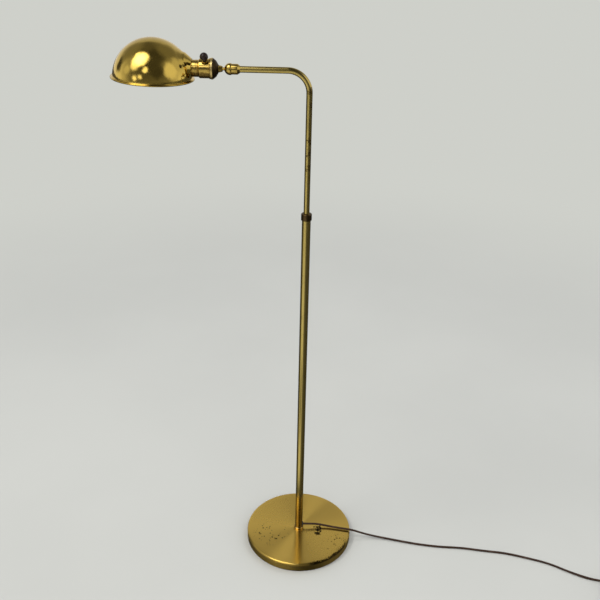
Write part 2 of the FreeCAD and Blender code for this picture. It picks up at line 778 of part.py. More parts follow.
def make_ball():
    """Ball, neck, knuckle and journal in one piece, bored for the lead."""
    at_centre = {"x": "-swivel_reach", "z": "arm_height"}
    ball = sphere("ball_globe", "ball_radius", **at_centre)
    neck = cylinder(
        "ball_neck", "neck_radius", "knuckle_reach + knuckle_length / 2", **along_arm("swivel_reach")
    )
    knuckle = turned(
        "ball_knuckle",
        [
            ("0", "0"),
            ("knuckle_small", "0", "knuckle_rounding"),
            ("knuckle_large", "knuckle_length", "knuckle_rounding / 2"),
            ("0", "knuckle_length"),
        ],
        **along_arm("swivel_reach + knuckle_reach"),
    )
    journal = cylinder("ball_journal", "journal_radius", "journal_length", **along_arm("knuckle_end"))
    bore = cylinder(
        "ball_bore",
        "wire_bore",
        "2 * ball_radius + knuckle_reach + knuckle_length + 2 * journal_length",
        **along_arm("swivel_reach - 2 * ball_radius"),
    )
    mouth = cone(
        "ball_mouth",
        "bore_mouth",
        "wire_bore",
        "ball_radius",
        **along_arm("swivel_reach - ball_radius"),
    )
    screw_place = {
        "x": "-(swivel_reach + knuckle_reach + knuckle_length / 2)",
        "z": "arm_height",
        "turn": Rotation(Vector(1, 0, 0), size("lock_screw_lean")),
    }
    hole = cylinder("lock_screw_hole", "lock_screw_radius", "2 * knuckle_large", **screw_place)
    core = cylinder(
        "lock_screw_core",
        "wire_bore + seat_gap",
        "knuckle_length",
        **along_arm("swivel_reach + knuckle_reach"),
    )
    screw_room = cut("lock_screw_room", hole, core)
    cut("swivel_ball", fuse("ball_solid", ball, neck, knuckle, journal), bore, mouth, screw_room)
    screw = cylinder("lock_screw_blank", "lock_screw_radius", "lock_screw_end", **screw_place)
    cut("lock_screw", screw, core)
    ring(
        "cap_nut",
        "cap_nut_radius",
        "journal_radius",
        "cap_nut_height",
        **along_arm("cap_start + cap_floor + seat_gap"),
    )


# ---------------------------------------------------------------------------------------------
# Socket and switch
# ---------------------------------------------------------------------------------------------


def switch_place():
    """Place of what lies on the switch shaft's axis, from the socket's axis outwards."""
    return {
        "x": "-switch_reach",
        "z": "arm_height",
        "turn": Rotation(Vector(1, 0, 0), size("switch_lean")),
    }


def on_switch(distance):
    """The same, at a distance from the socket's axis."""
    spot = switch_place()
    spot["y"] = f"-({distance}) * sin(switch_lean)"
    spot["z"] = f"arm_height + ({distance}) * cos(switch_lean)"
    return spot


def make_socket_cap():
    rim_start = "cap_length - cap_rim"
    turned(
        "socket_cap",
        [
            ("journal_radius + running_fit", "0"),
            ("cap_end", "0", "cap_wall / 2"),
            ("cap_shoulder", "cap_shoulder_depth", "cap_rounding"),
            ("cap_radius - cap_wall / 4", rim_start),
            ("cap_radius", f"{rim_start} + cap_wall / 4"),
            ("cap_radius", "cap_length", "cap_wall / 3"),
            ("mouth_radius", "cap_length"),
            ("mouth_radius", "cap_length - cap_overlap - seat_gap"),
            ("cap_shoulder - cap_wall", "cap_floor"),
            ("journal_radius + running_fit", "cap_floor"),
        ],
        **along_arm("cap_start"),
    )


def make_socket_shell():
    corners = [
        ("mouth_radius", "0"),
        ("mouth_radius", "bead_start"),
        ("bead_radius", "bead_start + shell_wall / 2"),
        ("bead_radius", "wide_start - shell_wall", "shell_wall / 2"),
        ("shell_radius", "wide_start"),
        ("shell_radius", "wide_end", "shell_wall"),
        ("shell_throat", "throat_start", "shell_wall"),
        ("shell_throat", "throat_end"),
        ("shell_throat - shell_wall", "throat_end"),
        ("shell_throat - shell_wall", "throat_start - shell_wall / 2"),
        ("shell_radius - shell_wall", "wide_end - shell_wall / 2"),
        ("shell_radius - shell_wall", "bead_start + shell_wall"),
        ("mouth_radius - shell_wall", "bead_start"),
        ("mouth_radius - shell_wall", "0"),
    ]
    blank = turned("socket_shell_blank", corners, **along_arm("shell_start"))
    hole = cylinder("shell_hole", "shaft_radius + seat_gap", "2 * shell_radius", **switch_place())
    cut("socket_shell", blank, hole)


def make_socket_inside():
    liner = ring(
        "liner_blank",
        "liner_radius",
        "liner_radius - liner_wall",
        "wide_end - bead_start - 3 * shell_wall",
        **along_arm("shell_start + bead_start + shell_wall"),
    )
    hole = cylinder("liner_hole", "shaft_radius + seat_gap", "2 * shell_radius", **switch_place())
    cut("insulating_liner", liner, hole)

    body = cylinder(
        "socket_body_blank", "body_radius", "socket_body_length", **along_arm("body_reach")
    )
    shaft_room = cylinder(
        "socket_body_hole",
        "shaft_radius + seat_gap",
        "2 * body_radius",
        **on_switch("shaft_start - seat_gap"),
    )
    sides = ("terminal_spread", "-terminal_spread")
    holes = [
        cylinder(
            f"terminal_hole_{i}",
            "terminal_radius",
            "terminal_length",
            y=side,
            **along_arm("body_reach"),
        )
        for i, side in enumerate(sides)
    ]
    cut("socket_body", body, shaft_room, *holes)
    screws = [
        turned(
            f"terminal_screw_{i}",
            [
                ("0", "0"),
                ("terminal_head", "0", "terminal_head_height / 3"),
                ("terminal_head", "terminal_head_height"),
                ("terminal_radius", "terminal_head_height"),
                ("terminal_radius", "terminal_head_height + terminal_length"),
                ("0", "terminal_head_height + terminal_length"),
            ],
            y=side,
            **along_arm("body_reach - terminal_head_height"),
        )
        for i, side in enumerate(sides)
    ]
    group("terminal_screws", *screws)

    inner = "screw_shell_radius - screw_shell_wall"
    turned(
        "screw_shell",
        [
            ("1.5 * contact_radius", "0"),
            ("screw_shell_radius", "0"),
            ("screw_shell_radius", "screw_shell_length"),
            (inner, "screw_shell_length"),
            (inner, "screw_shell_wall"),
            ("1.5 * contact_radius", "screw_shell_wall"),
        ],
        **along_arm("screw_reach"),
    )
    turned(
        "centre_contact",
        [
            ("0", "0"),
            ("contact_radius", "0"),
            ("contact_radius", "contact_height / 2"),
            ("contact_radius / 2", "contact_height + screw_shell_wall"),
            ("0", "contact_height + screw_shell_wall"),
        ],
        **along_arm("screw_reach"),
    )


def make_switch():
    knob_base = "shell_radius + bushing_stand + seat_gap"
    bushing = cylinder(
        "switch_bushing_blank", "bushing_radius", "shell_radius + bushing_stand", **switch_place()
    )
    shell_outside = cylinder(
        "switch_bushing_saddle",
        "shell_radius",
        "4 * bushing_radius",
        **along_arm("switch_reach - 2 * bushing_radius"),
    )
    shaft_hole = cylinder(
        "switch_bushing_hole", "shaft_radius + running_fit", "2 * shell_radius", **switch_place()
    )
    cut("switch_bushing", bushing, shell_outside, shaft_hole)
    shaft_length = f"{knob_base} + shaft_in_knob - shaft_start"
    cylinder("switch_shaft", "shaft_radius", shaft_length, **on_switch("shaft_start"))
    globe = sphere("knob_globe", "knob_radius", **on_switch("knob_distance"))
    shank = cylinder(
        "knob_shank", "knob_shank_radius", f"knob_distance - ({knob_base})", **on_switch(knob_base)
    )
    bore = cylinder("knob_bore", "shaft_radius", "shaft_in_knob", **on_switch(knob_base))
    cut("switch_knob", fuse("knob_solid", globe, shank), bore)


# ---------------------------------------------------------------------------------------------
# Shade and bulb
# ---------------------------------------------------------------------------------------------


def neck_solid(label, inset, rounding):
    """The shade's neck about the socket's axis, its surface moved inwards by an inset."""
    slope_inset = f"sqrt(2) * ({inset})"
    return turned(
        label,
        [
            ("0", inset),
            (f"neck_end - ({inset}) / 2", inset, rounding),
            (f"neck_waist - {slope_inset}", "neck_waist_depth", "2 * neck_rounding"),
            (f"neck_root - {slope_inset}", "neck_root_depth", "2 * neck_rounding"),
            (f"neck_root - {slope_inset}", "2 * neck_root_depth"),
            ("0", "2 * neck_root_depth"),
        ],
        **along_arm("neck_reach"),
    )


def make_shade():
    at_centre = {"x": "-dome_centre", "z": "dome_level"}
    outside = fuse(
        "shade_outside",
        sphere("dome_outer", "dome_radius", **at_centre),
        neck_solid("neck_outer", "0", "neck_rounding"),
    )
    inside = fuse(
        "shade_inside",
        sphere("dome_inner", "dome_radius - shade_wall", **at_centre),
        neck_solid("neck_inner", "shade_wall", "neck_rounding / 2"),
    )
    # The rim plane is raked: what lies below it is cut off, and a flange and a roll follow it.
    rim_spot = {"x": "-dome_centre", "z": "dome_level + rim_rise"}
    rake = Rotation(Vector(0, 1, 0), size("rim_rake"))
    below = cylinder(
        "shade_below",
        "2 * dome_radius",
        "2 * dome_radius",
        turn=Rotation(Vector(0, 1, 0), 180 + size("rim_rake")),
        **rim_spot,
    )
    throat = cylinder(
        "shade_throat",
        "shell_throat + seat_gap",
        "2 * neck_waist_depth",
        **along_arm("neck_reach - neck_waist_depth"),
    )
    sheet_metal = cut("shade_sheet", outside, inside, below, throat)
    roll_circle = "rim_radius - rim_bead"
    roll = doc.addObject("Part::Torus", "shade_roll")
    bind(roll, Radius1=roll_circle, Radius2="rim_bead")
    place(roll, turn=rake, **rim_spot)
    flange = turned(
        "shade_flange",
        [
            ("dome_radius - shade_wall", "0"),
            (roll_circle, "0"),
            ("dome_radius", "rim_flare"),
            ("dome_radius - shade_wall", "rim_flare"),
        ],
        turn=rake,
        **rim_spot,
    )
    fuse("shade", sheet_metal, roll, flange)
    turned(
        "shade_ring",
        [
            ("shell_throat", "0"),
            ("ring_nose", "0"),
            ("ring_radius", "ring_length - ring_flange"),
            ("ring_radius", "ring_length", "shade_wall"),
            ("shell_throat", "ring_length"),
        ],
        **along_arm("neck_reach + shade_wall"),
    )


def make_bulb():
    """Tubular bulb: a thin screw cap and a hollow glass with a round end."""
    slope_end = "3 * contact_height"
    turned(
        "bulb_cap",
        [
            ("0", "0"),
            ("contact_radius", "0"),
            ("contact_radius", "contact_height / 2"),
            ("bulb_cap_radius", slope_end),
            ("bulb_cap_radius", "bulb_cap_length"),
            ("bulb_cap_radius - bulb_cap_wall", "bulb_cap_length"),
            ("bulb_cap_radius - bulb_cap_wall", f"{slope_end} + bulb_cap_wall"),
            ("contact_radius - bulb_cap_wall", "contact_height"),
            ("0", "contact_height"),
        ],
        **along_arm("bulb_tip"),
    )
    glass_place = along_arm("bulb_tip + bulb_cap_length")
    outer = glass_solid("bulb_outer", "0", glass_place)
    inner = glass_solid("bulb_inner", "bulb_wall", glass_place)
    cut("bulb_glass", outer, inner)


def glass_solid(label, inset, where):
    """The glass as a solid, its surface moved inwards by an inset."""
    neck = f"bulb_neck_radius - {inset}"
    full = f"bulb_radius - {inset}"
    end = f"bulb_length - {inset}"
    return turned(
        label,
        [
            ("0", inset),
            (neck, inset),
            (neck, "bulb_neck_length", "bulb_rounding / 2"),
            (full, "bulb_flare_end", "bulb_rounding / 2"),
            (full, end, f"bulb_rounding - {inset}"),
            ("0", end),
        ],
        **where,
    )


# ---------------------------------------------------------------------------------------------
# Leads, cord and plug
# ---------------------------------------------------------------------------------------------

# The cord's free stretch from the grommet over the base to the floor, chosen by hand.
CORD_ROUTE = [
    (25.0, 0.0, 29.5),
    (41.5, 2.6, 27.4),
    (62.0, 1.0, 24.3),
    (89.0, -4.0, 23.2),
    (121.0, -9.8, 23.7),
    (146.0, -8.2, 12.9),
    (172.0, -7.4, 5.0),
    (214.0, -14.6, 3.0),
    (268.0, -26.6, 2.8),
    (318.0, -33.2, 2.9),
    (366.0, -34.0, 2.8),
    (412.0, -41.6, 2.9),
    (462.0, -46.8, 2.8),
    (504.0, -59.0, 2.9),
    (552.0, -74.0, 2.8),
    (590.0, -98.0, 2.9),
    (626.0, -117.0, 2.8),
]
# Where the coil begins, on its far side.
COIL_START = Vector(694.0, -122.0, 2.8)
# The plug's end of the cord: runs along the coil's last heading, aside, and up.
TAIL_RUNS = [(17.0, 0.0, 0.0), (21.0, 1.2, -4.9), (22.0, 2.6, -7.15), (19.0, 2.0, 0.0)]


def make_leads():
    level = size("exit_level")
    arm = size("arm_height")
    foot = size("upper_foot")
    cord_radius = size("cord_radius")
    lower = rounded_edges(
        [Vector(size("exit_reach"), 0, level), Vector(0, 0, level), Vector(0, 0, foot)],
        [2 * cord_radius],
    )
    feature("lead_lower", tube_along("lead_lower", lower, cord_radius))
    seat_front = size("swivel_reach") - size("ball_radius") - size("seat_gap")
    upper = rounded_edges(
        [Vector(0, 0, foot), Vector(0, 0, arm), Vector(-seat_front, 0, arm)], [size("bend_radius")]
    )
    feature("lead_upper", tube_along("lead_upper", upper, size("lead_radius")))
    cylinder(
        "lead_ball",
        "lead_radius",
        "knuckle_end + journal_length - (swivel_reach - ball_radius + seat_gap)",
        **along_arm("swivel_reach - ball_radius + seat_gap"),
    )
    make_tails(arm)


def make_tails(arm):
    """The lead's two conductors in the socket cap, each to its own terminal screw."""
    thick = size("tail_radius")
    start = size("knuckle_end + journal_length")
    head = size("body_reach - terminal_head_height")
    spread = size("terminal_spread")
    middle = (start + head) / 2
    tails = []
    for side in (1, -1):
        points = [
            Vector(-start, side * thick, arm),
            Vector(-middle, side * thick, arm),
            Vector(-middle, side * spread, arm),
            Vector(-head, side * spread, arm),
        ]
        radii = [(head - start) / 3] * 2
        tails.append(tube_along("lead_tail", rounded_edges(points, radii), thick))
    feature("lead_tails", Part.Compound(tails))


def make_cord():
    start = Vector(size("exit_reach"), 0, size("exit_level"))
    coil = coil_nodes()
    heading = coil[0][1]
    coil_entry = coil[0][0] - heading * size("cord_width")
    points = [start] + [Vector(*spot) for spot in CORD_ROUTE]
    points += [coil_entry - heading * size("coil_lead"), coil_entry]
    radii = route_radii(points)
    print("cord radii:", " ".join(f"{radius:.0f}" for radius in radii))
    solid = tube_along("cord", rounded_edges(points, radii), size("cord_radius"))
    feature("cord", solid)
    make_coil(coil)


def coil_point(turn):
    """Centre line of the coil after some turns, clockwise from its far side.

    The radius runs in and out at a steady rate, once per layer, and each climb to the next layer
    takes the half turn round the place where the radius reverses.
    """
    pitch = size("coil_pitch")
    per_layer = size("coil_turns / coil_layers")
    widest = size("coil_radius") + pitch * per_layer / 2
    layer, done = divmod(turn / per_layer, 1.0)
    run_in = done if int(layer) % 2 == 0 else 1 - done
    radius = widest - pitch * per_layer * run_in
    climbs = sum(
        min(1.0, max(0.0, (turn - k * per_layer + 0.25) / 0.5))
        for k in range(1, int(size("coil_layers")))
    )
    centre = COIL_START - Vector(0, widest, 0)
    angle = math.pi / 2 - 2 * math.pi * turn
    across = Vector(math.cos(angle), math.sin(angle), 0) * radius
    return centre + across + Vector(0, 0, climbs * pitch)


def coil_nodes():
    """Points and headings of the coil, a quarter turn apart."""
    turns = size("coil_turns")
    count = int(round(4 * turns))
    step = turns / count
    small = step / 200
    nodes = []
    for i in range(count + 1):
        turn = i * step
        before = coil_point(max(0.0, turn - small))
        after = coil_point(min(turns, turn + small))
        nodes.append((coil_point(turn), (after - before).normalize()))
    return nodes


def biarc(start, heading, end, final):
    """Two arcs from one point and heading to another."""
    chord = end - start
    both = heading + final
    spread = 2 * (1 - heading.dot(final))
    along = chord.dot(both)
    reach = (math.sqrt(along**2 + spread * chord.dot(chord)) - along) / spread
    first = start + heading * reach
    second = end - final * reach
    joint = (first + second) * 0.5
    return [arc_edge(start, first, joint), arc_edge(joint, second, end)]


def least_gap(edges, radius):
    """The least gap of a tube to itself, from points along its centre line."""
    points = []
    lengths = []
    done = 0.0
    for edge in edges:
        steps = max(2, int(edge.Length / radius))
        first, last = edge.ParameterRange
        for k in range(steps):
            points.append(edge.valueAt(first + (last - first) * k / steps))
            lengths.append(done + edge.Length * k / steps)
        done += edge.Length
    apart = 8 * radius
    nearest = min(
        (points[i] - points[j]).Length
        for i in range(len(points))
        for j in range(i)
        if lengths[i] - lengths[j] > apart
    )
    return nearest - 2 * radius


def make_coil(nodes):
    """The put-away rest of the cord, the plug's end of it, and the plug."""
    width = size("cord_width")
    edges = [Part.LineSegment(nodes[0][0] - nodes[0][1] * width, nodes[0][0]).toShape()]
    for (start, heading), (end, final) in zip(nodes, nodes[1:]):
        edges += biarc(start, heading, end, final)
    end, final = nodes[-1]
    coil_end = end + final * width
    edges.append(Part.LineSegment(end, coil_end).toShape())
    print(f"cord_coil: least gap to itself {least_gap(edges, width / 2):.2f}")
    feature("cord_coil", tube_along("cord_coil", edges, width / 2))

    final.z = 0
    aside = Vector(0, 0, 1).cross(final)
    points = [coil_end]
    for ahead, across, up in TAIL_RUNS:
        points.append(points[-1] + final * ahead + aside * across + Vector(0, 0, up))
    # The cord enters the plug level, half way up.
    points[-2].z = points[-1].z = size("plug_height / 2")
    radii = route_radii(points)
    print("cord_tail radii:", " ".join(f"{radius:.0f}" for radius in radii))
    feature("cord_tail", tube_along("cord_tail", rounded_edges(points, radii), width / 2))
    make_plug(points[-1], points[-1] - points[-2])


def make_plug(entry, heading):
    """A two-blade plug that lies on the floor, its rear face where the cord ends."""
    ahead = heading.normalize()
    turn = Rotation(Vector(1, 0, 0), ahead)
    spot = Vector(entry.x, entry.y, 0)
    body = doc.addObject("Part::Box", "plug_blank")
    bind(body, Length="plug_length", Width="plug_width", Height="plug_height")
    side = turn.multVec(Vector(0, 1, 0))
    body.Placement = Placement(spot - side * (size("plug_width") / 2), turn)
    doc.recompute()
    rounded = doc.addObject("Part::Fillet", "plug_body")
    rounded.Base = body
    radius = size("plug_rounding")
    long_edges = [
        i
        for i, edge in enumerate(body.Shape.Edges, start=1)
        if abs(edge.tangentAt(edge.FirstParameter).dot(ahead)) > 0.99
    ]
    rounded.Edges = [(i, radius, radius) for i in long_edges]
    blades = []
    for i, sign in enumerate((1, -1)):
        blade = doc.addObject("Part::Box", f"plug_blade_{i}")
        bind(blade, Length="blade_length", Width="blade_sheet", Height="blade_height")
        aside = sign * size("blade_spread / 2") - size("blade_sheet / 2")
        height = Vector(0, 0, size("plug_height / 2 - blade_height / 2"))
        face = spot + ahead * size("plug_length")
        blade.Placement = Placement(face + side * aside + height, turn)
        blades.append(blade)
    group("plug_blades", *blades)


# ---------------------------------------------------------------------------------------------
# Build and write
# ---------------------------------------------------------------------------------------------

SUB_PARTS = [
    "base_cover",
    "base_weight",
    "felt_pad",
    "base_washer",
    "base_nut",
    "threaded_nipple",
    "foot_bushing",
    "foot_ring",
    "lower_tube",
    "cord_grommet",
    "slide_collar",
    "friction_bush",
    "lead_lower",
    "guide_ring",
    "upper_tube",
    "stop_ring_lower",
    "stop_ring_upper",
    "barrel_rear",
    "swivel_pin",
    "ball_seat",
    "seat_spring",
    "lead_upper",
    "barrel_front",
    "swivel_ball",
    "lock_screw",
    "cap_nut",
    "lead_ball",
    "socket_cap",
    "socket_shell",
    "insulating_liner",
    "socket_body",
    "screw_shell",
    "centre_contact",
    "terminal_screws",
    "lead_tails",
    "switch_bushing",
    "switch_shaft",
    "switch_knob",
    "shade",
    "shade_ring",
    "bulb_cap",
    "bulb_glass",
    "cord",
    "cord_coil",
    "cord_tail",
    "plug_body",
    "plug_blades",
]


def check_all():
    """Stops on any failed object and on any sub-part without a sound shape."""
    for item in doc.Objects:
        if "Invalid" in item.State or "Error" in item.State:
            raise RuntimeError(f"{item.Label}: {item.State} {item.getStatusString()}")
    for label in SUB_PARTS:
        shape = doc.getObjectsByLabel(label)[0].Shape
        if shape.isNull() or not shape.isValid() or not shape.Solids:
            raise RuntimeError(f"{label}: no sound solid")


def write_all():
    """Writes each sub-part to its own file."""
    os.makedirs("parts", exist_ok=True)
    for label in SUB_PARTS:
        shape = doc.getObjectsByLabel(label)[0].Shape
        shape.exportStep(os.path.join("parts", f"{label}.step"))
        print(f"{label}: {len(shape.Solids)} solid(s), {shape.Volume / 1000:.3f} cm3")


make_base()
make_lower_stem()
make_upper_stem()
make_barrel()
make_ball()
make_socket_cap()
make_socket_shell()
make_socket_inside()
make_switch()
make_shade()
make_bulb()
make_leads()
make_cord()
doc.recompute()
check_all()
write_all()
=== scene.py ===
"""Bridge floor lamp in polished brass: the finished pieces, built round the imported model.

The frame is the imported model's: origin under the middle of the base, +Z up, the arm to -X. Sizes of
pieces are fields in millimetres, those of the cord, of marks on a finish and of the studio in metres.
Meshes are in metres.
"""

import logging
import math
from dataclasses import dataclass
from enum import Enum
from typing import Callable, Sequence

import bmesh
import bpy
import numpy as np
from mathutils import Matrix, Vector


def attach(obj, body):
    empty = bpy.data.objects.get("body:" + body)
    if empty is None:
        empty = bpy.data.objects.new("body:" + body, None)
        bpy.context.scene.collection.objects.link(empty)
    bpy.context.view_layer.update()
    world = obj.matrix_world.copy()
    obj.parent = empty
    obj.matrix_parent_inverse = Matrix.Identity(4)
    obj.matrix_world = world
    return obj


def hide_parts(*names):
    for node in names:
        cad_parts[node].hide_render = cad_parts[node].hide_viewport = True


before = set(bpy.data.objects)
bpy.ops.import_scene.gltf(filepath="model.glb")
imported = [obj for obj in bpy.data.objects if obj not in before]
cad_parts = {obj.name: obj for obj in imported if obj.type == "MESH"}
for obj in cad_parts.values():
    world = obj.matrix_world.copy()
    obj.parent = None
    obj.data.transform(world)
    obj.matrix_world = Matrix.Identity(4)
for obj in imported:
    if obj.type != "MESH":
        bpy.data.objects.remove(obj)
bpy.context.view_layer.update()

LOG = logging.getLogger("lamp")
MM = 0.001
Corner = tuple[float, ...]
Colour = tuple[float, float, float, float]
Socket = bpy.types.NodeSocket

ARM_HEIGHT = 1036.5
# Faces round a turned piece, from the widest pieces to the smallest.
WIDE_SEGMENTS = 192
SEGMENTS = 128
TUBE_SEGMENTS = 96
SMALL_SEGMENTS = 64
# Edges that turn by more stay sharp.
SHARP = math.radians(32.0)
# Points that are nearer to each other, or to an axis, are one.
WELD = 1e-6
# Name of the UV map, and the millimetres of outline in one unit of its V.
UV_MAP = "lay"
UV_SPAN = 100.0
# Steps of vector arithmetic that give a number.
MEASURES = ("DOT_PRODUCT", "DISTANCE", "LENGTH")


# ---------------------------------------------------------------------------------------------
# Meshes
# ---------------------------------------------------------------------------------------------


def rounded(corners: Sequence[Corner], step: float = 9.0) -> list[tuple[float, float]]:
    """Points of a closed outline whose corners may be rounded.

    Args:
        corners: (across, up) or (across, up, rounding) in millimetres.
        step: Largest turn between two points of a rounding, in degrees.

    Returns:
        The points of the outline in order, in millimetres.
    """
    points: list[tuple[float, float]] = []
    count = len(corners)
    for i, corner in enumerate(corners):
        here = np.array(corner[:2], float)
        if len(corner) < 3:
            points.append((float(here[0]), float(here[1])))
            continue
        arrive = here - np.array(corners[i - 1][:2], float)
        leave = np.array(corners[(i + 1) % count][:2], float) - here
        arrive /= np.linalg.norm(arrive)
        leave /= np.linalg.norm(leave)
        turn = math.acos(max(-1.0, min(1.0, float(arrive @ leave))))
        radius = corner[2]
        side = math.copysign(1.0, arrive[0] * leave[1] - arrive[1] * leave[0])
        start = here - arrive * radius * math.tan(turn / 2)
        normal = np.array([-arrive[1], arrive[0]]) * side
        steps = max(2, math.ceil(math.degrees(turn) / step))
        for k in range(steps + 1):
            angle = turn * k / steps
            spot = start + arrive * radius * math.sin(angle) + normal * radius * (1 - math.cos(angle))
            points.append((float(spot[0]), float(spot[1])))
    return points


def linked(name: str, data: bpy.types.ID) -> bpy.types.Object:
    """A new object in the scene's collection."""
    item = bpy.data.objects.new(name, data)
    bpy.context.scene.collection.objects.link(item)
    return item


def smoothed(name: str, mesh: bpy.types.Mesh) -> bpy.types.Object:
    """An object of the mesh, smoothly shaded but for its sharp edges."""
    mesh.shade_smooth()
    mesh.set_sharp_from_angle(angle=SHARP)
    return linked(name, mesh)


def evaluated(carrier: bpy.types.Object) -> bpy.types.Mesh:
    """The plain mesh that an object comes to; the object goes away."""
    graph = bpy.context.evaluated_depsgraph_get()
    mesh = bpy.data.meshes.new_from_object(carrier.evaluated_get(graph), depsgraph=graph)
    bpy.data.objects.remove(carrier)
    return mesh


def mesh_object(
    name: str,
    vertices: np.ndarray,
    faces: Sequence[Sequence[int]],
    uvs: Sequence[Sequence[tuple[float, float]]] | None = None,
) -> bpy.types.Object:
    """A smooth-shaded object from plain lists, its faces turned outwards.

    Args:
        name: Name of the object.
        vertices: Points in metres.
        faces: Vertex numbers of each face; together they enclose a volume.
        uvs: A UV pair for each corner of each face.

    Returns:
        The linked object.
    """
    mesh = bpy.data.meshes.new(name)
    mesh.from_pydata([tuple(v) for v in vertices], [], [tuple(f) for f in faces])
    if uvs is not None:
        layer = mesh.uv_layers.new(name=UV_MAP)
        flat = np.array([pair for face in uvs for pair in face], np.float32)
        layer.data.foreach_set("uv", flat.ravel())
    bm = bmesh.new()
    bm.from_mesh(mesh)
    if bm.calc_volume(signed=True) < 0:
        bmesh.ops.reverse_faces(bm, faces=bm.faces)
        bm.to_mesh(mesh)
    bm.free()
    mesh.validate()
    return smoothed(name, mesh)


def placed(x: float = 0.0, y: float = 0.0, z: float = 0.0, turn: Matrix | None = None) -> Matrix:
    """A place in millimetres with a rotation, as a matrix in metres."""
    return Matrix.Translation(Vector((x, y, z)) * MM) @ (turn or Matrix.Identity(4))


def along_arm(reach: float, z: float = ARM_HEIGHT) -> Matrix:
    """Place of a turned piece on the arm's axis, its own +Z pointing along the arm."""
    return placed(-reach, 0.0, z, Matrix.Rotation(math.radians(-90.0), 4, "Y"))


def lathe(
    name: str,
    outline: Sequence[tuple[float, float]],
    place: Matrix | None = None,
    segments: int = SEGMENTS,
) -> bpy.types.Object:
    """A closed outline turned about its own +Z.

    Args:
        name: Name of the object.
        outline: (radius, height) points in millimetres; radius 0 is a pole.
        place: Where the piece goes.
        segments: Number of faces round the axis.

    Returns:
        The object, with U round the axis and V along the outline.
    """
    place = place or Matrix.Identity(4)
    angles = np.linspace(0.0, 2 * math.pi, segments, endpoint=False)
    vertices: list[tuple[float, float, float]] = []
    rings: list[list[int]] = []
    for radius, height in outline:
        if radius < WELD:
            rings.append([len(vertices)])
            vertices.append((0.0, 0.0, height * MM))
            continue
        rings.append(list(range(len(vertices), len(vertices) + segments)))
        for angle in angles:
            vertices.append((radius * math.cos(angle) * MM, radius * math.sin(angle) * MM, height * MM))
    lengths = [0.0]
    for (r0, h0), (r1, h1) in zip(outline, list(outline[1:]) + [outline[0]]):
        lengths.append(lengths[-1] + math.hypot(r1 - r0, h1 - h0))
    faces, uvs = [], []
    for i, ring in enumerate(rings):
        other = rings[(i + 1) % len(rings)]
        low, high = lengths[i] / UV_SPAN, lengths[i + 1] / UV_SPAN
        if len(ring) == 1 and len(other) == 1:
            continue
        for j in range(segments):
            k = (j + 1) % segments
            u0, u1 = j / segments, (j + 1) / segments
            if len(ring) == 1:
                faces.append((ring[0], other[k], other[j]))
                uvs.append((((u0 + u1) / 2, low), (u1, high), (u0, high)))
            elif len(other) == 1:
                faces.append((ring[j], ring[k], other[0]))
                uvs.append(((u0, low), (u1, low), ((u0 + u1) / 2, high)))
            else:
                faces.append((ring[j], ring[k], other[k], other[j]))
                uvs.append(((u0, low), (u1, low), (u1, high), (u0, high)))
    spots = np.array([place @ Vector(v) for v in vertices])
    return mesh_object(name, spots, faces, uvs)


def join(name: str, *items: bpy.types.Object) -> bpy.types.Object:
    """Several objects as one piece."""
    with bpy.context.temp_override(
        active_object=items[0], selected_editable_objects=list(items), selected_objects=list(items)
    ):
        bpy.ops.object.join()
    items[0].name = name
    items[0].data.name = name
    return items[0]


def smooth_copy(name: str, node: str) -> bpy.types.Object:
    """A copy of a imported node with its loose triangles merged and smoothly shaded.

    Args:
        name: Name of the new object.
        node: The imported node.

    Returns:
        The linked copy.
    """
    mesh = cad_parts[node].data.copy()
    bm = bmesh.new()
    bm.from_mesh(mesh)
    bmesh.ops.remove_doubles(bm, verts=bm.verts, dist=WELD)
    bmesh.ops.dissolve_degenerate(bm, dist=WELD, edges=bm.edges)
    bm.to_mesh(mesh)
    bm.free()
    mesh.materials.clear()
    return smoothed(name, mesh)


def lengths_along(line: np.ndarray) -> np.ndarray:
    """Length of a line up to each of its points."""
    return np.concatenate([[0.0], np.cumsum(np.linalg.norm(np.diff(line, axis=0), axis=1))])


def unit_rows(rows: np.ndarray) -> np.ndarray:
    """Each row at length 1."""
    return rows / np.linalg.norm(rows, axis=1, keepdims=True)


def level_frame(line: np.ndarray) -> tuple[np.ndarray, np.ndarray]:
    """Level side directions along a line, and the up directions that go with them."""
    ahead = unit_rows(np.gradient(line, axis=0))
    sides = unit_rows(np.cross(np.array([0.0, 0.0, 1.0]), ahead))
    return sides, np.cross(ahead, sides)


def tube_faces(rings: int, around: int) -> list[tuple[int, ...]]:
    """Faces of a run of equal rings of vertices, closed at both ends."""
    faces: list[tuple[int, ...]] = []
    for i in range(rings - 1):
        a, b = i * around, (i + 1) * around
        for j in range(around):
            k = (j + 1) % around
            faces.append((a + j, a + k, b + k, b + j))
    faces.append(tuple(reversed(range(around))))
    faces.append(tuple((rings - 1) * around + j for j in range(around)))
    return faces


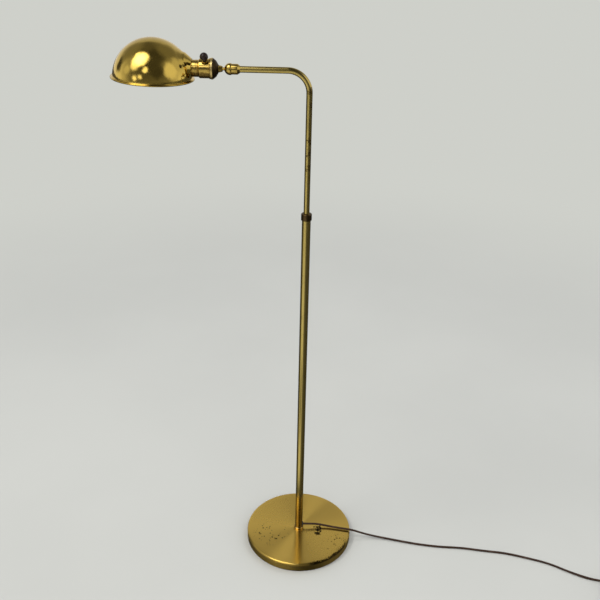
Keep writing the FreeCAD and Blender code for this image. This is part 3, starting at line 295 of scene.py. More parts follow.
def sweep(
    name: str,
    path: np.ndarray,
    section: np.ndarray,
    sides: np.ndarray,
    ups: np.ndarray,
    scales: np.ndarray | None = None,
) -> bpy.types.Object:
    """A closed section carried along a path, closed at both ends.

    Args:
        name: Name of the object.
        path: Points in metres.
        section: (side, up) points of the section in metres, counter-clockwise.
        sides: The section's side direction at each point.
        ups: The section's up direction at each point.
        scales: Size of the section at each point.

    Returns:
        The object, with V along the path in metres and U round the section.
    """
    count, around = len(path), len(section)
    scales = np.ones(count) if scales is None else scales
    rings = (
        path[:, None, :]
        + sides[:, None, :] * section[None, :, 0:1] * scales[:, None, None]
        + ups[:, None, :] * section[None, :, 1:2] * scales[:, None, None]
    )
    vertices = rings.reshape(-1, 3)
    lengths = lengths_along(path)
    uvs = []
    for low, high in zip(lengths[:-1], lengths[1:]):
        for j in range(around):
            u0, u1 = j / around, (j + 1) / around
            uvs.append(((u0, low), (u1, low), (u1, high), (u0, high)))
    uvs += [tuple((0.0, 0.0) for _ in range(around))] * 2
    return mesh_object(name, vertices, tube_faces(count, around), uvs)


# ---------------------------------------------------------------------------------------------
# Geometry Nodes
# ---------------------------------------------------------------------------------------------


class Tree:
    """A Geometry Nodes tree with named inputs that makes one plain mesh."""

    def __init__(self, name: str, **inputs: str) -> None:
        """Starts a tree whose output is its geometry, with its inputs by name and kind."""
        self.group = bpy.data.node_groups.new(name, "GeometryNodeTree")
        self.group.interface.new_socket("Geometry", in_out="OUTPUT", socket_type="NodeSocketGeometry")
        self.group.interface.new_socket("Geometry", in_out="INPUT", socket_type="NodeSocketGeometry")
        self.keys: dict[str, str] = {}
        self.source = self.group.nodes.new("NodeGroupInput")
        for socket, kind in inputs.items():
            self.add(socket, kind)

    def add(self, name: str, kind: str) -> None:
        """Adds a named input."""
        socket = self.group.interface.new_socket(name, in_out="INPUT", socket_type=kind)
        self.keys[name] = socket.identifier

    def node(self, kind: str, **inputs: object) -> bpy.types.Node:
        """A node whose inputs are values or other nodes' sockets."""
        made = self.group.nodes.new(kind)
        for name, value in inputs.items():
            socket = made.inputs[name.replace("_", " ")]
            if isinstance(value, bpy.types.NodeSocket):
                self.group.links.new(value, socket)
            else:
                socket.default_value = value
        return made

    def finish(self, geometry: Socket) -> None:
        """Ends the tree in Realize Instances and Set Material."""
        self.add("Material", "NodeSocketMaterial")
        real = self.node("GeometryNodeRealizeInstances", Geometry=geometry)
        material = self.source.outputs["Material"]
        dressed = self.node("GeometryNodeSetMaterial", Geometry=real.outputs[0], Material=material)
        target = self.group.nodes.new("NodeGroupOutput")
        self.group.links.new(dressed.outputs[0], target.inputs[0])

    def run(
        self,
        name: str,
        values: dict[str, object],
        base: bpy.types.ID | None = None,
        place: Matrix | None = None,
    ) -> bpy.types.Object:
        """Evaluates the tree once.

        Args:
            name: Name of the object.
            values: Value of each named input.
            base: Curve or mesh data that goes in, if any.
            place: Where the finished mesh goes.

        Returns:
            An object with the plain mesh.
        """
        carrier = linked(f"{name}_carrier", base or bpy.data.meshes.new(f"{name}_carrier"))
        modifier = carrier.modifiers.new("tree", "NODES")
        modifier.node_group = self.group
        for key, value in values.items():
            modifier[self.keys[key]] = value
        mesh = evaluated(carrier)
        mesh.name = name
        if place is not None:
            mesh.transform(place)
        return smoothed(name, mesh)


def thread_tree() -> Tree:
    """A screw thread: a round wire wound about +Z."""
    tree = Tree(
        "screw_thread",
        Turns="NodeSocketFloat",
        Radius="NodeSocketFloat",
        Length="NodeSocketFloat",
        Wire="NodeSocketFloat",
        Points="NodeSocketInt",
    )
    out = tree.source.outputs
    spiral = tree.node(
        "GeometryNodeCurveSpiral",
        Resolution=out["Points"],
        Rotations=out["Turns"],
        Start_Radius=out["Radius"],
        End_Radius=out["Radius"],
        Height=out["Length"],
    )
    circle = tree.node("GeometryNodeCurvePrimitiveCircle", Resolution=10, Radius=out["Wire"])
    wire = tree.node("GeometryNodeCurveToMesh", Curve=spiral.outputs[0], Profile_Curve=circle.outputs[0])
    wire.inputs["Fill Caps"].default_value = True
    tree.finish(wire.outputs[0])
    return tree


def row_tree() -> Tree:
    """A row of equal rounded ribs along +X."""
    tree = Tree(
        "row_of_ribs", Count="NodeSocketInt", Spacing="NodeSocketVector", Size="NodeSocketVector"
    )
    out = tree.source.outputs
    line = tree.node("GeometryNodeMeshLine", Count=out["Count"], Offset=out["Spacing"])
    rib = tree.node("GeometryNodeMeshUVSphere", Segments=20, Rings=12, Radius=0.5)
    row = tree.node(
        "GeometryNodeInstanceOnPoints", Points=line.outputs[0], Instance=rib.outputs[0], Scale=out["Size"]
    )
    tree.finish(row.outputs[0])
    return tree


def pipe_tree() -> Tree:
    """A round pipe along the curve that goes in."""
    tree = Tree("pipe_along_curve", Radius="NodeSocketFloat", Sides="NodeSocketInt")
    out = tree.source.outputs
    circle = tree.node("GeometryNodeCurvePrimitiveCircle", Resolution=out["Sides"], Radius=out["Radius"])
    pipe = tree.node("GeometryNodeCurveToMesh", Curve=out["Geometry"], Profile_Curve=circle.outputs[0])
    pipe.inputs["Fill Caps"].default_value = True
    tree.finish(pipe.outputs[0])
    return tree


@dataclass(frozen=True)
class Thread:
    """A screw thread, in millimetres."""

    radius: float
    length: float
    wire: float
    points: int
    turns: float = 5.0

    def build(self, name: str, material: bpy.types.Material, place: Matrix) -> bpy.types.Object:
        """The thread, wound from the place along its +Z."""
        values = {
            "Turns": self.turns,
            "Radius": self.radius * MM,
            "Length": self.length * MM,
            "Wire": self.wire * MM,
            "Points": self.points,
            "Material": material,
        }
        return thread_tree().run(name, values, place=place)


# ---------------------------------------------------------------------------------------------
# Finishes
# ---------------------------------------------------------------------------------------------


class Nodes:
    """A shader tree under construction, with short calls for its nodes."""

    def __init__(self, tree: bpy.types.NodeTree) -> None:
        """Takes the tree that the nodes go into."""
        self.tree = tree

    def give(self, socket: Socket, value: object) -> None:
        """Links an input to another node's socket, or sets its own value."""
        if isinstance(value, bpy.types.NodeSocket):
            self.tree.links.new(value, socket)
        else:
            socket.default_value = value

    def node(
        self, kind: str, inputs: dict[object, object] | None = None, **settings: object
    ) -> bpy.types.Node:
        """A node with settings, and inputs by name or number."""
        made = self.tree.nodes.new(kind)
        for name, value in settings.items():
            setattr(made, name, value)
        for name, value in (inputs or {}).items():
            self.give(made.inputs[name], value)
        return made

    def maths(self, operation: str, a: object, b: object = 0.0) -> Socket:
        """One step of arithmetic."""
        return self.node("ShaderNodeMath", {0: a, 1: b}, operation=operation).outputs[0]

    def vector(self, operation: str, *inputs: object) -> Socket:
        """One step of vector arithmetic: a number where it measures, a vector otherwise."""
        made = self.node("ShaderNodeVectorMath", dict(enumerate(inputs)), operation=operation)
        return made.outputs["Value" if operation in MEASURES else "Vector"]

    def remap(
        self, value: Socket, low: float, high: float, to_low: float = 0.0, to_high: float = 1.0
    ) -> Socket:
        """A value's range taken to another, clamped and eased."""
        inputs = {"Value": value, 1: low, 2: high, 3: to_low, 4: to_high}
        return self.node("ShaderNodeMapRange", inputs, interpolation_type="SMOOTHSTEP").outputs[0]

    def grey_ramp(self, value: Socket, stops: Sequence[tuple[float, float]]) -> Socket:
        """An eased grey ramp of the value, by (position, grey)."""
        made = self.node("ShaderNodeValToRGB", {0: value})
        elements = made.color_ramp.elements
        while len(elements) < len(stops):
            elements.new(0.5)
        for element, (position, grey) in zip(elements, stops):
            element.position = position
            element.color = (grey, grey, grey, 1.0)
        made.color_ramp.interpolation = "EASE"
        return made.outputs[0]


class Shader(Nodes):
    """A material under construction."""

    def __init__(self, name: str) -> None:
        """Starts a material with one Principled surface."""
        self.material = bpy.data.materials.new(name)
        self.material.use_nodes = True
        super().__init__(self.material.node_tree)
        self.surface = self.tree.nodes["Principled BSDF"]
        self._coords: Socket | None = None

    def set(self, **values: object) -> None:
        """Sets numbers and colours on the surface's own sockets."""
        for name, value in values.items():
            self.surface.inputs[name.replace("_", " ")].default_value = value

    def feed(self, name: str, value: Socket) -> None:
        """Links a socket of the surface."""
        self.tree.links.new(value, self.surface.inputs[name])

    def coords(self) -> Socket:
        """Object coordinates."""
        if self._coords is None:
            self._coords = self.node("ShaderNodeTexCoord").outputs["Object"]
        return self._coords

    def coordinate(self, axis: int) -> Socket:
        """One object coordinate: 0 is X, 2 is Z."""
        return self.node("ShaderNodeSeparateXYZ", {0: self.coords()}).outputs[axis]

    def flat(self) -> Socket:
        """Object coordinates without their height."""
        return self.vector("MULTIPLY", self.coords(), (1.0, 1.0, 0.0))

    def distance_from_axis(self) -> Socket:
        """Distance from the lamp's upright axis."""
        return self.vector("LENGTH", self.flat())

    def noise(
        self, scale: float, detail: float = 3.0, rough: float = 0.5, vector: Socket | None = None
    ) -> Socket:
        """A noise value about 0.5."""
        place = vector or self.coords()
        inputs = {"Vector": place, "Scale": scale, "Detail": detail, "Roughness": rough}
        return self.node("ShaderNodeTexNoise", inputs).outputs[0]

    def wobble(self, reach: float, scale: float, detail: float = 3.0, rough: float = 0.5) -> Socket:
        """A noise about 0, half of the reach either way."""
        centred = self.maths("SUBTRACT", self.noise(scale, detail, rough), 0.5)
        return self.maths("MULTIPLY", centred, reach)

    def mix(self, share: object, a: object, b: object) -> Socket:
        """Two colours mixed."""
        made = self.node("ShaderNodeMix", data_type="RGBA")
        for name, value in (("Factor_Float", share), ("A_Color", a), ("B_Color", b)):
            self.give(next(s for s in made.inputs if s.identifier == name), value)
        return next(s for s in made.outputs if s.identifier == "Result_Color")

    def near(
        self, centre: tuple[float, float, float], radius: float, soft: float, ragged: float = 0.0
    ) -> Socket:
        """1 near a point of the object and 0 away from it, in metres, with a ragged edge."""
        distance = self.vector("DISTANCE", self.coords(), centre)
        if ragged:
            distance = self.maths("ADD", distance, self.wobble(ragged, 220.0))
        return self.remap(distance, radius, radius + soft, 1.0, 0.0)

    def bump(self, height: Socket, strength: float, distance: float) -> None:
        """Relief on the surface."""
        inputs = {"Height": height, "Strength": strength, "Distance": distance}
        self.feed("Normal", self.node("ShaderNodeBump", inputs).outputs[0])


class Grain(Enum):
    """How a metal surface was worked."""

    PLAIN = "plain"
    LENGTHWISE = "along +Z"
    RINGS = "rings about +Z"
    ARM_RINGS = "rings about the arm"


# Grains that are a noise stretched along the piece, with its scale along each axis.
STRETCHED = {
    Grain.LENGTHWISE: (900.0, 900.0, 14.0),
    Grain.ARM_RINGS: (1100.0, 25.0, 25.0),
}


@dataclass(frozen=True)
class Mark:
    """A stain on the metal: its place and size in metres."""

    centre: tuple[float, float, float]
    radius: float
    ragged: float = 0.004
    depth: float = 0.8


@dataclass(frozen=True)
class Brass:
    """Lacquered brass with tarnish, smudges and the marks of its making; a dress can add painted shade and
    a painted highlight to its tarnish.
    """

    name: str
    colour: Colour = (0.66, 0.44, 0.135, 1.0)
    tarnish_and_shade: Colour = (0.23, 0.13, 0.035, 1.0)
    amount: float = 0.35
    patches: float = 28.0
    roughness: float = 0.14
    smudge: float = 0.10
    grain: Grain = Grain.PLAIN
    grain_depth: float = 0.10
    turned_sheen: float = 0.0
    marks: tuple[Mark, ...] = ()
    dress: Callable[["Shader", Socket], Socket] | None = None
    pits: Callable[["Shader"], Socket] | None = None
    pit_colour: Colour = (0.032, 0.019, 0.008, 1.0)

    def grain_height(self, shader: Shader) -> Socket:
        """Relief of the working marks."""
        if self.grain in STRETCHED:
            stretched = shader.vector("MULTIPLY", shader.coords(), STRETCHED[self.grain])
            return shader.noise(1.0, 2.0, 0.6, stretched)
        if self.grain is Grain.RINGS:
            spread = shader.maths("MULTIPLY", shader.distance_from_axis(), 900.0)
            lines = shader.node("ShaderNodeCombineXYZ", {0: spread})
            return shader.noise(1.0, 2.0, 0.7, lines.outputs[0])
        return shader.noise(700.0, 2.0, 0.5)

    def build(self) -> bpy.types.Material:
        """The material."""
        shader = Shader(self.name)
        shader.set(Metallic=1.0)
        cloud = shader.noise(self.patches, 5.0, 0.62)
        fine = shader.noise(self.patches * 9.0, 3.0, 0.6)
        broad_share, fine_share = 0.75, 0.25
        both = shader.maths(
            "ADD", shader.maths("MULTIPLY", cloud, broad_share), shader.maths("MULTIPLY", fine, fine_share)
        )
        stain_and_shade = shader.remap(both, 0.52, 0.72, 0.0, self.amount)
        for mark in self.marks:
            spot = shader.near(mark.centre, mark.radius, 0.0025, mark.ragged)
            stain_and_shade = shader.maths("MAXIMUM", stain_and_shade, shader.maths("MULTIPLY", spot, mark.depth))
        # A dress may add painted shade and a painted highlight to this mask, beside the tarnish.
        if self.dress:
            stain_and_shade = self.dress(shader, stain_and_shade)
        colour = shader.mix(stain_and_shade, self.colour, self.tarnish_and_shade)
        if self.pits:
            pits = self.pits(shader)
            colour = shader.mix(pits, colour, self.pit_colour)
            stain_and_shade = shader.maths("MAXIMUM", stain_and_shade, shader.maths("MULTIPLY", pits, 2.0))
        shader.feed("Base Color", colour)
        smear = shader.remap(shader.noise(self.patches * 1.7, 4.0, 0.55), 0.45, 0.75, 0.0, self.smudge)
        rough = shader.maths("ADD", smear, self.roughness)
        shader.feed("Roughness", shader.maths("ADD", rough, shader.maths("MULTIPLY", stain_and_shade, 0.18)))
        if self.turned_sheen:
            shader.set(Anisotropic=self.turned_sheen, Anisotropic_Rotation=0.25)
            tangent = shader.node("ShaderNodeTangent", direction_type="UV_MAP", uv_map=UV_MAP)
            shader.feed("Tangent", tangent.outputs[0])
        shader.bump(self.grain_height(shader), self.grain_depth, 0.0002)
        return shader.material


def base_painted_light(shader: Shader, stain_and_shade: Socket) -> Socket:
    """Painted shade and a painted highlight on the base: the side below the rounding darker, as the dark
    floor it reflects, and two brighter sectors of the brushed top, as the highlight of its brushing.
    """
    toward = (-0.75, 0.66, 0.0)
    side_low, side_top = 0.0130, 0.0172
    way = shader.vector("NORMALIZE", shader.flat())
    across = shader.maths("ABSOLUTE", shader.vector("DOT_PRODUCT", way, toward))
    # Painted highlight: the top stays lighter in two opposite sectors and is darker outside them.
    painted_highlight_sectors = shader.remap(across, 0.35, 1.0, 0.15, 0.0)
    # Painted shade: the side below the rounding is darker, a painted reflection of a dark floor.
    side = shader.remap(shader.coordinate(2), side_low, side_top, 0.72, 0.0)
    return shader.maths("MAXIMUM", shader.maths("MAXIMUM", stain_and_shade, side), painted_highlight_sectors)


def stem_foot(shader: Shader, stain_and_shade: Socket) -> Socket:
    """Darker metal towards the foot of the stem."""
    low, high = 0.05, 0.15
    return shader.maths("MAXIMUM", stain_and_shade, shader.remap(shader.coordinate(2), low, high, 0.85, 0.0))


def painted_dark_underside(shader: Shader, stain_and_shade: Socket) -> Socket:
    """Painted shade on the lower half of the pieces along the arm: patchy dark colour in place of the dark
    reflection they show there.
    """
    axis, fade = ARM_HEIGHT * MM, 0.006
    level = shader.maths("ADD", shader.coordinate(2), shader.wobble(0.010, 130.0))
    return shader.maths("MAXIMUM", stain_and_shade, shader.remap(level, axis - fade, axis, 0.85, 0.0))


def base_pits(shader: Shader) -> Socket:
    """Specks, a star-shaped stain and an eaten edge on the top of the base."""
    inputs = {"Vector": shader.coords(), "Scale": 175.0, "Randomness": 1.0}
    cells = shader.node("ShaderNodeTexVoronoi", inputs, feature="F1").outputs["Distance"]
    size = shader.remap(shader.noise(75.0, 2.0), 0.36, 0.64, 0.05, 0.31)
    speck = shader.remap(shader.maths("SUBTRACT", cells, size), -0.02, 0.05, 1.0, 0.0)
    cluster = shader.near((-0.062, -0.021, 0.020), 0.020, 0.026)
    few = shader.near((0.0800, -0.0470, 0.020), 0.016, 0.016)
    mask = shader.maths("MULTIPLY", speck, shader.maths("MAXIMUM", cluster, few))
    star = (
        ((0.043, 0.001, 0.020), 0.0050),
        ((0.044, -0.010, 0.020), 0.0062),
        ((0.043, -0.019, 0.020), 0.0046),
    )
    for centre, radius in star:
        mask = shader.maths("MAXIMUM", mask, shader.near(centre, radius, 0.0015, 0.026))
    reach = shader.maths("ADD", shader.distance_from_axis(), shader.wobble(0.022, 330.0, 4.0, 0.75))
    edge = shader.remap(reach, 0.1122, 0.1134)
    eaten = shader.near((0.074, -0.088, 0.018), 0.042, 0.022, 0.02)
    mask = shader.maths("MAXIMUM", mask, shader.maths("MULTIPLY", edge, eaten))
    top = shader.remap(shader.coordinate(2), 0.0120, 0.0165, 0.0, 0.95)
    return shader.maths("MULTIPLY", mask, top)


def rim_of_cap(shader: Shader, stain_and_shade: Socket) -> Socket:
    """Bronze everywhere but on the cap's worn rim."""
    rim_low, rim_high = -0.1664, -0.1657
    body = shader.remap(shader.coordinate(0), rim_low, rim_high)
    return shader.maths("MAXIMUM", body, shader.maths("MULTIPLY", stain_and_shade, 0.3))


@dataclass(frozen=True)
class Plain:
    """Any other finish: a colour that varies a little, with fine relief."""

    name: str
    colour: Colour
    other: Colour
    scale: float = 60.0
    roughness: float = 0.5
    metallic: float = 0.0
    relief: float = 0.1
    relief_scale: float = 900.0
    fuzz: float = 0.0
    specular: float = 0.5

    def build(self) -> bpy.types.Material:
        """The material."""
        shader = Shader(self.name)
        shader.set(
            Metallic=self.metallic,
            Sheen_Weight=self.fuzz,
            Specular_IOR_Level=self.specular,
        )
        cloud = shader.remap(shader.noise(self.scale, 4.0), 0.35, 0.65)
        shader.feed("Base Color", shader.mix(cloud, self.colour, self.other))
        spread = 0.15
        smooth, rough = self.roughness * (1.0 - spread), self.roughness * (1.0 + spread)
        wear = shader.noise(self.scale * 2.3, 3.0)
        shader.feed("Roughness", shader.remap(wear, 0.3, 0.7, smooth, rough))
        shader.bump(shader.noise(self.relief_scale, 3.0), self.relief, 0.0003)
        return shader.material


@dataclass(frozen=True)
class CordSkin:
    """Flexible brown cord cover, a little dusty along its length."""

    name: str = "cord_brown"
    colour: Colour = (0.040, 0.021, 0.013, 1.0)
    worn: Colour = (0.075, 0.045, 0.030, 1.0)

    def build(self) -> bpy.types.Material:
        """The material."""
        shader = Shader(self.name)
        dust = shader.remap(shader.noise(45.0, 5.0, 0.6), 0.45, 0.7)
        shader.feed("Base Color", shader.mix(dust, self.colour, self.worn))
        shader.feed("Roughness", shader.remap(shader.noise(160.0), 0.3, 0.7, 0.38, 0.55))
        shader.set(Specular_IOR_Level=0.15)
        shader.bump(shader.noise(1400.0, 2.0), 0.15, 0.0002)
        return shader.material


@dataclass(frozen=True)
class MilkGlass:
    """White coated bulb glass."""

    name: str = "milk_glass"

    def build(self) -> bpy.types.Material:
        """The material."""
        shader = Shader(self.name)
        tint = shader.mix(shader.noise(40.0), (0.86, 0.86, 0.83, 1.0), (0.80, 0.80, 0.77, 1.0))
        shader.feed("Base Color", tint)
        shader.set(Roughness=0.22, Coat_Weight=0.6, Coat_Roughness=0.05, Subsurface_Weight=0.3)
        shader.surface.inputs["Subsurface Radius"].default_value = (0.01, 0.01, 0.01)
        return shader.material


class Palette:
    """All finishes of the lamp, made once."""

    def __init__(self) -> None:
        """Builds every material."""
        # The base's darker colour falls only on its pits and on its painted shade and painted highlight
        # sectors.
        self.base = Brass(
            "spun_brass", colour=(0.94, 0.635, 0.140, 1.0), tarnish_and_shade=(0.20, 0.135, 0.035, 1.0), amount=0.0,
            roughness=0.27, smudge=0.02, grain=Grain.RINGS, grain_depth=0.02, turned_sheen=0.95,
            dress=base_painted_light, pits=base_pits,
        ).build()
        self.tube = Brass(
            "tube_brass", colour=(0.62, 0.47, 0.14, 1.0), tarnish_and_shade=(0.16, 0.105, 0.035, 1.0), amount=0.4,
            roughness=0.13, smudge=0.05, dress=stem_foot, grain_depth=0.012, grain=Grain.LENGTHWISE,
            marks=(
                Mark((0.003, -0.005, 1.003), 0.0035, 0.022, 0.8),
                Mark((0.004, -0.004, 0.979), 0.0025, 0.018, 0.9),
                Mark((0.003, -0.005, 0.915), 0.0040, 0.030, 0.8),
                Mark((0.002, -0.005, 0.893), 0.0040, 0.030, 0.8),
                Mark((0.003, -0.005, 0.866), 0.0040, 0.026, 0.7),
            ),
        ).build()
        self.shade = Brass(
            "shade_brass", colour=(0.77, 0.535, 0.110, 1.0), tarnish_and_shade=(0.32, 0.20, 0.045, 1.0), amount=0.3,
            patches=16.0, roughness=0.09, smudge=0.08,
        ).build()
        # The turned pieces carry painted shade on their lower halves along the arm.
        self.turned = Brass(
            "socket_brass", colour=(0.72, 0.50, 0.12, 1.0), tarnish_and_shade=(0.16, 0.095, 0.025, 1.0), amount=0.40,
            patches=90.0, roughness=0.11, grain=Grain.ARM_RINGS, dress=painted_dark_underside,
        ).build()
        self.ring = Brass("ring_brass", amount=0.45, patches=90.0, roughness=0.15).build()
        self.bronze = Brass(
            "dark_bronze", colour=(0.11, 0.070, 0.028, 1.0), tarnish_and_shade=(0.035, 0.022, 0.011, 1.0), amount=0.9,
            patches=120.0, roughness=0.27,
        ).build()
        self.cap = Brass(
            "cap_bronze", colour=(0.80, 0.60, 0.24, 1.0), tarnish_and_shade=(0.070, 0.045, 0.019, 1.0), amount=0.5,
            patches=120.0, roughness=0.30, dress=rim_of_cap,
        ).build()
        self.inner_brass = Brass("plain_brass", amount=0.3, patches=120.0, roughness=0.25).build()
        self.iron = Plain(
            "cast_iron", (0.05, 0.05, 0.05, 1.0), (0.09, 0.08, 0.075, 1.0), 90.0, 0.6, 1.0, relief=0.5
        ).build()
        self.steel = Plain(
            "bright_steel", (0.55, 0.55, 0.54, 1.0), (0.42, 0.42, 0.41, 1.0), 90.0, 0.3, 1.0
        ).build()
        self.felt = Plain(
            "green_felt", (0.030, 0.055, 0.035, 1.0), (0.045, 0.075, 0.050, 1.0), 300.0, 0.95, relief=0.9,
            relief_scale=2500.0, fuzz=0.4,
        ).build()
        self.rubber = Plain(
            "black_rubber", (0.018, 0.016, 0.015, 1.0), (0.035, 0.030, 0.027, 1.0), 200.0, 0.55
        ).build()
        self.nylon = Plain(
            "white_nylon", (0.62, 0.60, 0.54, 1.0), (0.54, 0.52, 0.46, 1.0), 90.0, 0.45
        ).build()
        self.fibre = Plain(
            "grey_fibre", (0.22, 0.20, 0.17, 1.0), (0.15, 0.14, 0.12, 1.0), 200.0, 0.8
        ).build()
        self.phenolic = Plain(
            "brown_phenolic", (0.05, 0.03, 0.02, 1.0), (0.03, 0.02, 0.014, 1.0), 90.0, 0.3
        ).build()
        self.knob = Plain(
            "knob_black", (0.014, 0.009, 0.008, 1.0), (0.026, 0.016, 0.012, 1.0), 260.0, 0.25, relief=0.05,
            specular=0.3,
        ).build()
        self.lead = Plain(
            "lead_sheath", (0.10, 0.08, 0.06, 1.0), (0.07, 0.055, 0.042, 1.0), 90.0, 0.5
        ).build()
        self.cord = CordSkin().build()
        self.plug = Plain(
            "plug_brown", (0.036, 0.021, 0.016, 1.0), (0.055, 0.034, 0.026, 1.0), 120.0, 0.42, relief=0.25
        ).build()
        self.cap_metal = Plain(
            "bulb_cap_metal", (0.60, 0.58, 0.50, 1.0), (0.48, 0.46, 0.40, 1.0), 120.0, 0.28, 1.0
        ).build()
        self.glass = MilkGlass().build()


def dress(
    item: bpy.types.Object, material: bpy.types.Material, body: str, slot: str | None, *nodes: str
) -> bpy.types.Object:
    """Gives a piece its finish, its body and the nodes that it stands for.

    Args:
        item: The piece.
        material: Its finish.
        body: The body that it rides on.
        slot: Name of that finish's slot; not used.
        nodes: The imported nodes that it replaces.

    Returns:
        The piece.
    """
    item.data.materials.clear()
    item.data.materials.append(material)
    if nodes:
        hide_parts(*nodes)
    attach(item, body)
    LOG.info("%s: %d faces on %s", item.name, len(item.data.polygons), body)
    return item


# ---------------------------------------------------------------------------------------------
# Sub-assemblies
# ---------------------------------------------------------------------------------------------


@dataclass
class Base:
    """Spun cover over the weight, and the felt under it."""

    radius: float = 116.0
    height: float = 20.0
    wall: float = 1.0
    rounding: float = 3.5
    lip: float = 4.0
    lift: float = 1.0
    hole: float = 5.3
    rings: tuple[float, ...] = (100.0, 60.0, 30.0)
    felt_inset: float = 0.3
    felt_thick: float = 2.0
    felt_rounding: float = 0.4

    def build(self, look: Palette) -> None:
        """Makes the cover and the felt."""
        inner = self.radius - self.wall
        lip = self.radius - self.lip
        top = self.height
        corners = [
            (self.hole, top),
            (self.hole, top - self.wall),
            (inner, top - self.wall, self.rounding - self.wall),
            (inner, self.lift + self.wall),
            (lip, self.lift + self.wall),
            (lip, self.lift),
            (self.radius, self.lift, self.wall / 2),
            (self.radius, top, self.rounding),
        ]
        corners += [(ring, top) for ring in self.rings]
        cover = lathe("cover", rounded(corners), segments=WIDE_SEGMENTS)
        dress(cover, look.base, "stand", "spun_brass", "base_cover")
        edge, thick = lip - self.felt_inset, self.felt_thick
        pad = [(0.0, 0.0), (edge, 0.0, self.felt_rounding), (edge, thick), (0.0, thick)]
        dress(lathe("felt", rounded(pad)), look.felt, "stand", "felt", "felt_pad")


@dataclass
class LowerStem:
    """Thick tube with its foot ring, cord grommet and collar."""

    floor: float = 20.0
    radius: float = 8.25
    bore: float = 7.05
    length: float = 754.0
    ring_radius: float = 10.5
    ring_height: float = 4.4
    exit_level: float = 29.5
    exit_reach: float = 10.3
    grommet: float = 4.8
    grommet_hole: float = 2.75
    grommet_start: float = 6.4
    collar_radius: float = 10.0
    collar_height: float = 13.0
    collar_top: float = 778.0
    collar_bore: float = 5.8
    collar_lip: float = 4.0

    def build(self, look: Palette) -> None:
        """Makes the pieces of the fixed stem."""
        low, top = self.floor, self.floor + self.length
        wall = [(self.bore, low), (self.radius, low), (self.radius, top, 0.3), (self.bore, top)]
        tube = lathe("thick_tube", rounded(wall), segments=TUBE_SEGMENTS)
        dress(tube, look.tube, "stand", "tube_brass", "lower_tube")
        corners = [
            (self.radius, 0.0),
            (self.ring_radius, 0.0),
            (self.ring_radius, self.ring_height, 1.7),
            (self.radius, self.ring_height),
        ]
        ring = lathe("foot_collar", rounded(corners), placed(z=self.floor), TUBE_SEGMENTS)
        dress(ring, look.ring, "stand", "socket_brass", "foot_ring")
        nose = self.exit_reach - self.grommet_start
        corners = [
            (self.grommet_hole, 0.0),
            (self.grommet, 0.0),
            (self.grommet, nose, 1.2),
            (self.grommet_hole, nose, 0.5),
        ]
        outwards = Matrix.Rotation(math.radians(90.0), 4, "Y")
        place = placed(self.grommet_start, 0.0, self.exit_level, outwards)
        grommet = lathe("exit_grommet", rounded(corners), place, SMALL_SEGMENTS)
        dress(grommet, look.rubber, "stand", "black_rubber", "cord_grommet")
        low = self.collar_top - self.collar_height
        seat = self.collar_top - self.collar_lip
        corners = [
            (self.radius, low),
            (self.collar_radius, low, 0.5),
            (self.collar_radius, self.collar_top, 1.8),
            (self.collar_bore, self.collar_top),
            (self.collar_bore, seat),
            (self.radius, seat),
        ]
        collar = lathe("collar", rounded(corners), segments=TUBE_SEGMENTS)
        dress(collar, look.bronze, "stand", "dark_bronze", "slide_collar")


@dataclass
class Mast:
    """Thin tube, riser, bend and arm in one, with the rear half of the swivel barrel."""

    radius: float = 5.5
    foot: float = 440.0
    bend: float = 38.0
    end: float = 127.4
    arm_reach: float = 119.8
    barrel: float = 8.95
    barrel_nose: float = 5.9
    barrel_length: float = 14.7
    taper: float = 4.2
    seat_radius: float = 7.75
    seat_depth: float = 3.9
    ball_socket: float = 6.45
    back_wall: float = 7.6
    straight: float = 400.0
    straight_steps: int = 8
    bend_steps: int = 36
    sides: int = 72

    def line(self) -> bpy.types.Curve:
        """Centre line of the tube as a curve."""
        curve = bpy.data.curves.new("mast_line", "CURVE")
        curve.dimensions = "3D"
        bend_foot = ARM_HEIGHT - self.bend
        points = [(0.0, self.foot)]
        for k in range(self.straight_steps):
            points.append((0.0, bend_foot - (1 - k / self.straight_steps) * self.straight))
        for k in range(self.bend_steps + 1):
            angle = math.radians(90.0 * k / self.bend_steps)
            across = -self.bend * (1 - math.cos(angle))
            points.append((across, bend_foot + self.bend * math.sin(angle)))
        points.append((-self.end, ARM_HEIGHT))
        spline = curve.splines.new("POLY")
        spline.points.add(len(points) - 1)
        for spot, (x, z) in zip(spline.points, points):
            spot.co = (x * MM, 0.0, z * MM, 1.0)
        return curve

    def build(self, look: Palette) -> None:
        """Makes the tube and the barrel's rear half."""
        values = {"Radius": self.radius * MM, "Sides": self.sides, "Material": look.tube}
        tube = pipe_tree().run("thin_tube", values, self.line())
        dress(tube, look.tube, "mast", "tube_brass", "upper_tube")
        seat = self.barrel_length - self.seat_depth
        corners = [
            (self.radius, 0.0),
            (self.barrel_nose, 0.0, 0.25),
            (self.barrel, self.taper, self.taper / 3),
            (self.barrel, self.barrel_length, 0.35),
            (self.seat_radius, self.barrel_length),
            (self.seat_radius, seat),
            (self.ball_socket, seat),
            (self.ball_socket, self.back_wall),
            (self.radius, self.back_wall),
        ]
        barrel = lathe("barrel_back", rounded(corners), along_arm(self.arm_reach), TUBE_SEGMENTS)
        dress(barrel, look.turned, "mast", "socket_brass", "barrel_rear")


@dataclass
class Swivel:
    """Front half of the barrel and the ball with its neck and knuckle."""

    def build(self, look: Palette) -> None:
        """Makes the two turning pieces and the screw."""
        for name, node, material, body, slot in (
            ("barrel_nose", "barrel_front", look.turned, "swivel", "socket_brass"),
            ("ball_and_knuckle", "swivel_ball", look.turned, "ball", "socket_brass"),
            ("knuckle_screw", "lock_screw", look.bronze, "ball", "plain_brass"),
        ):
            dress(smooth_copy(name, node), material, body, slot, node)


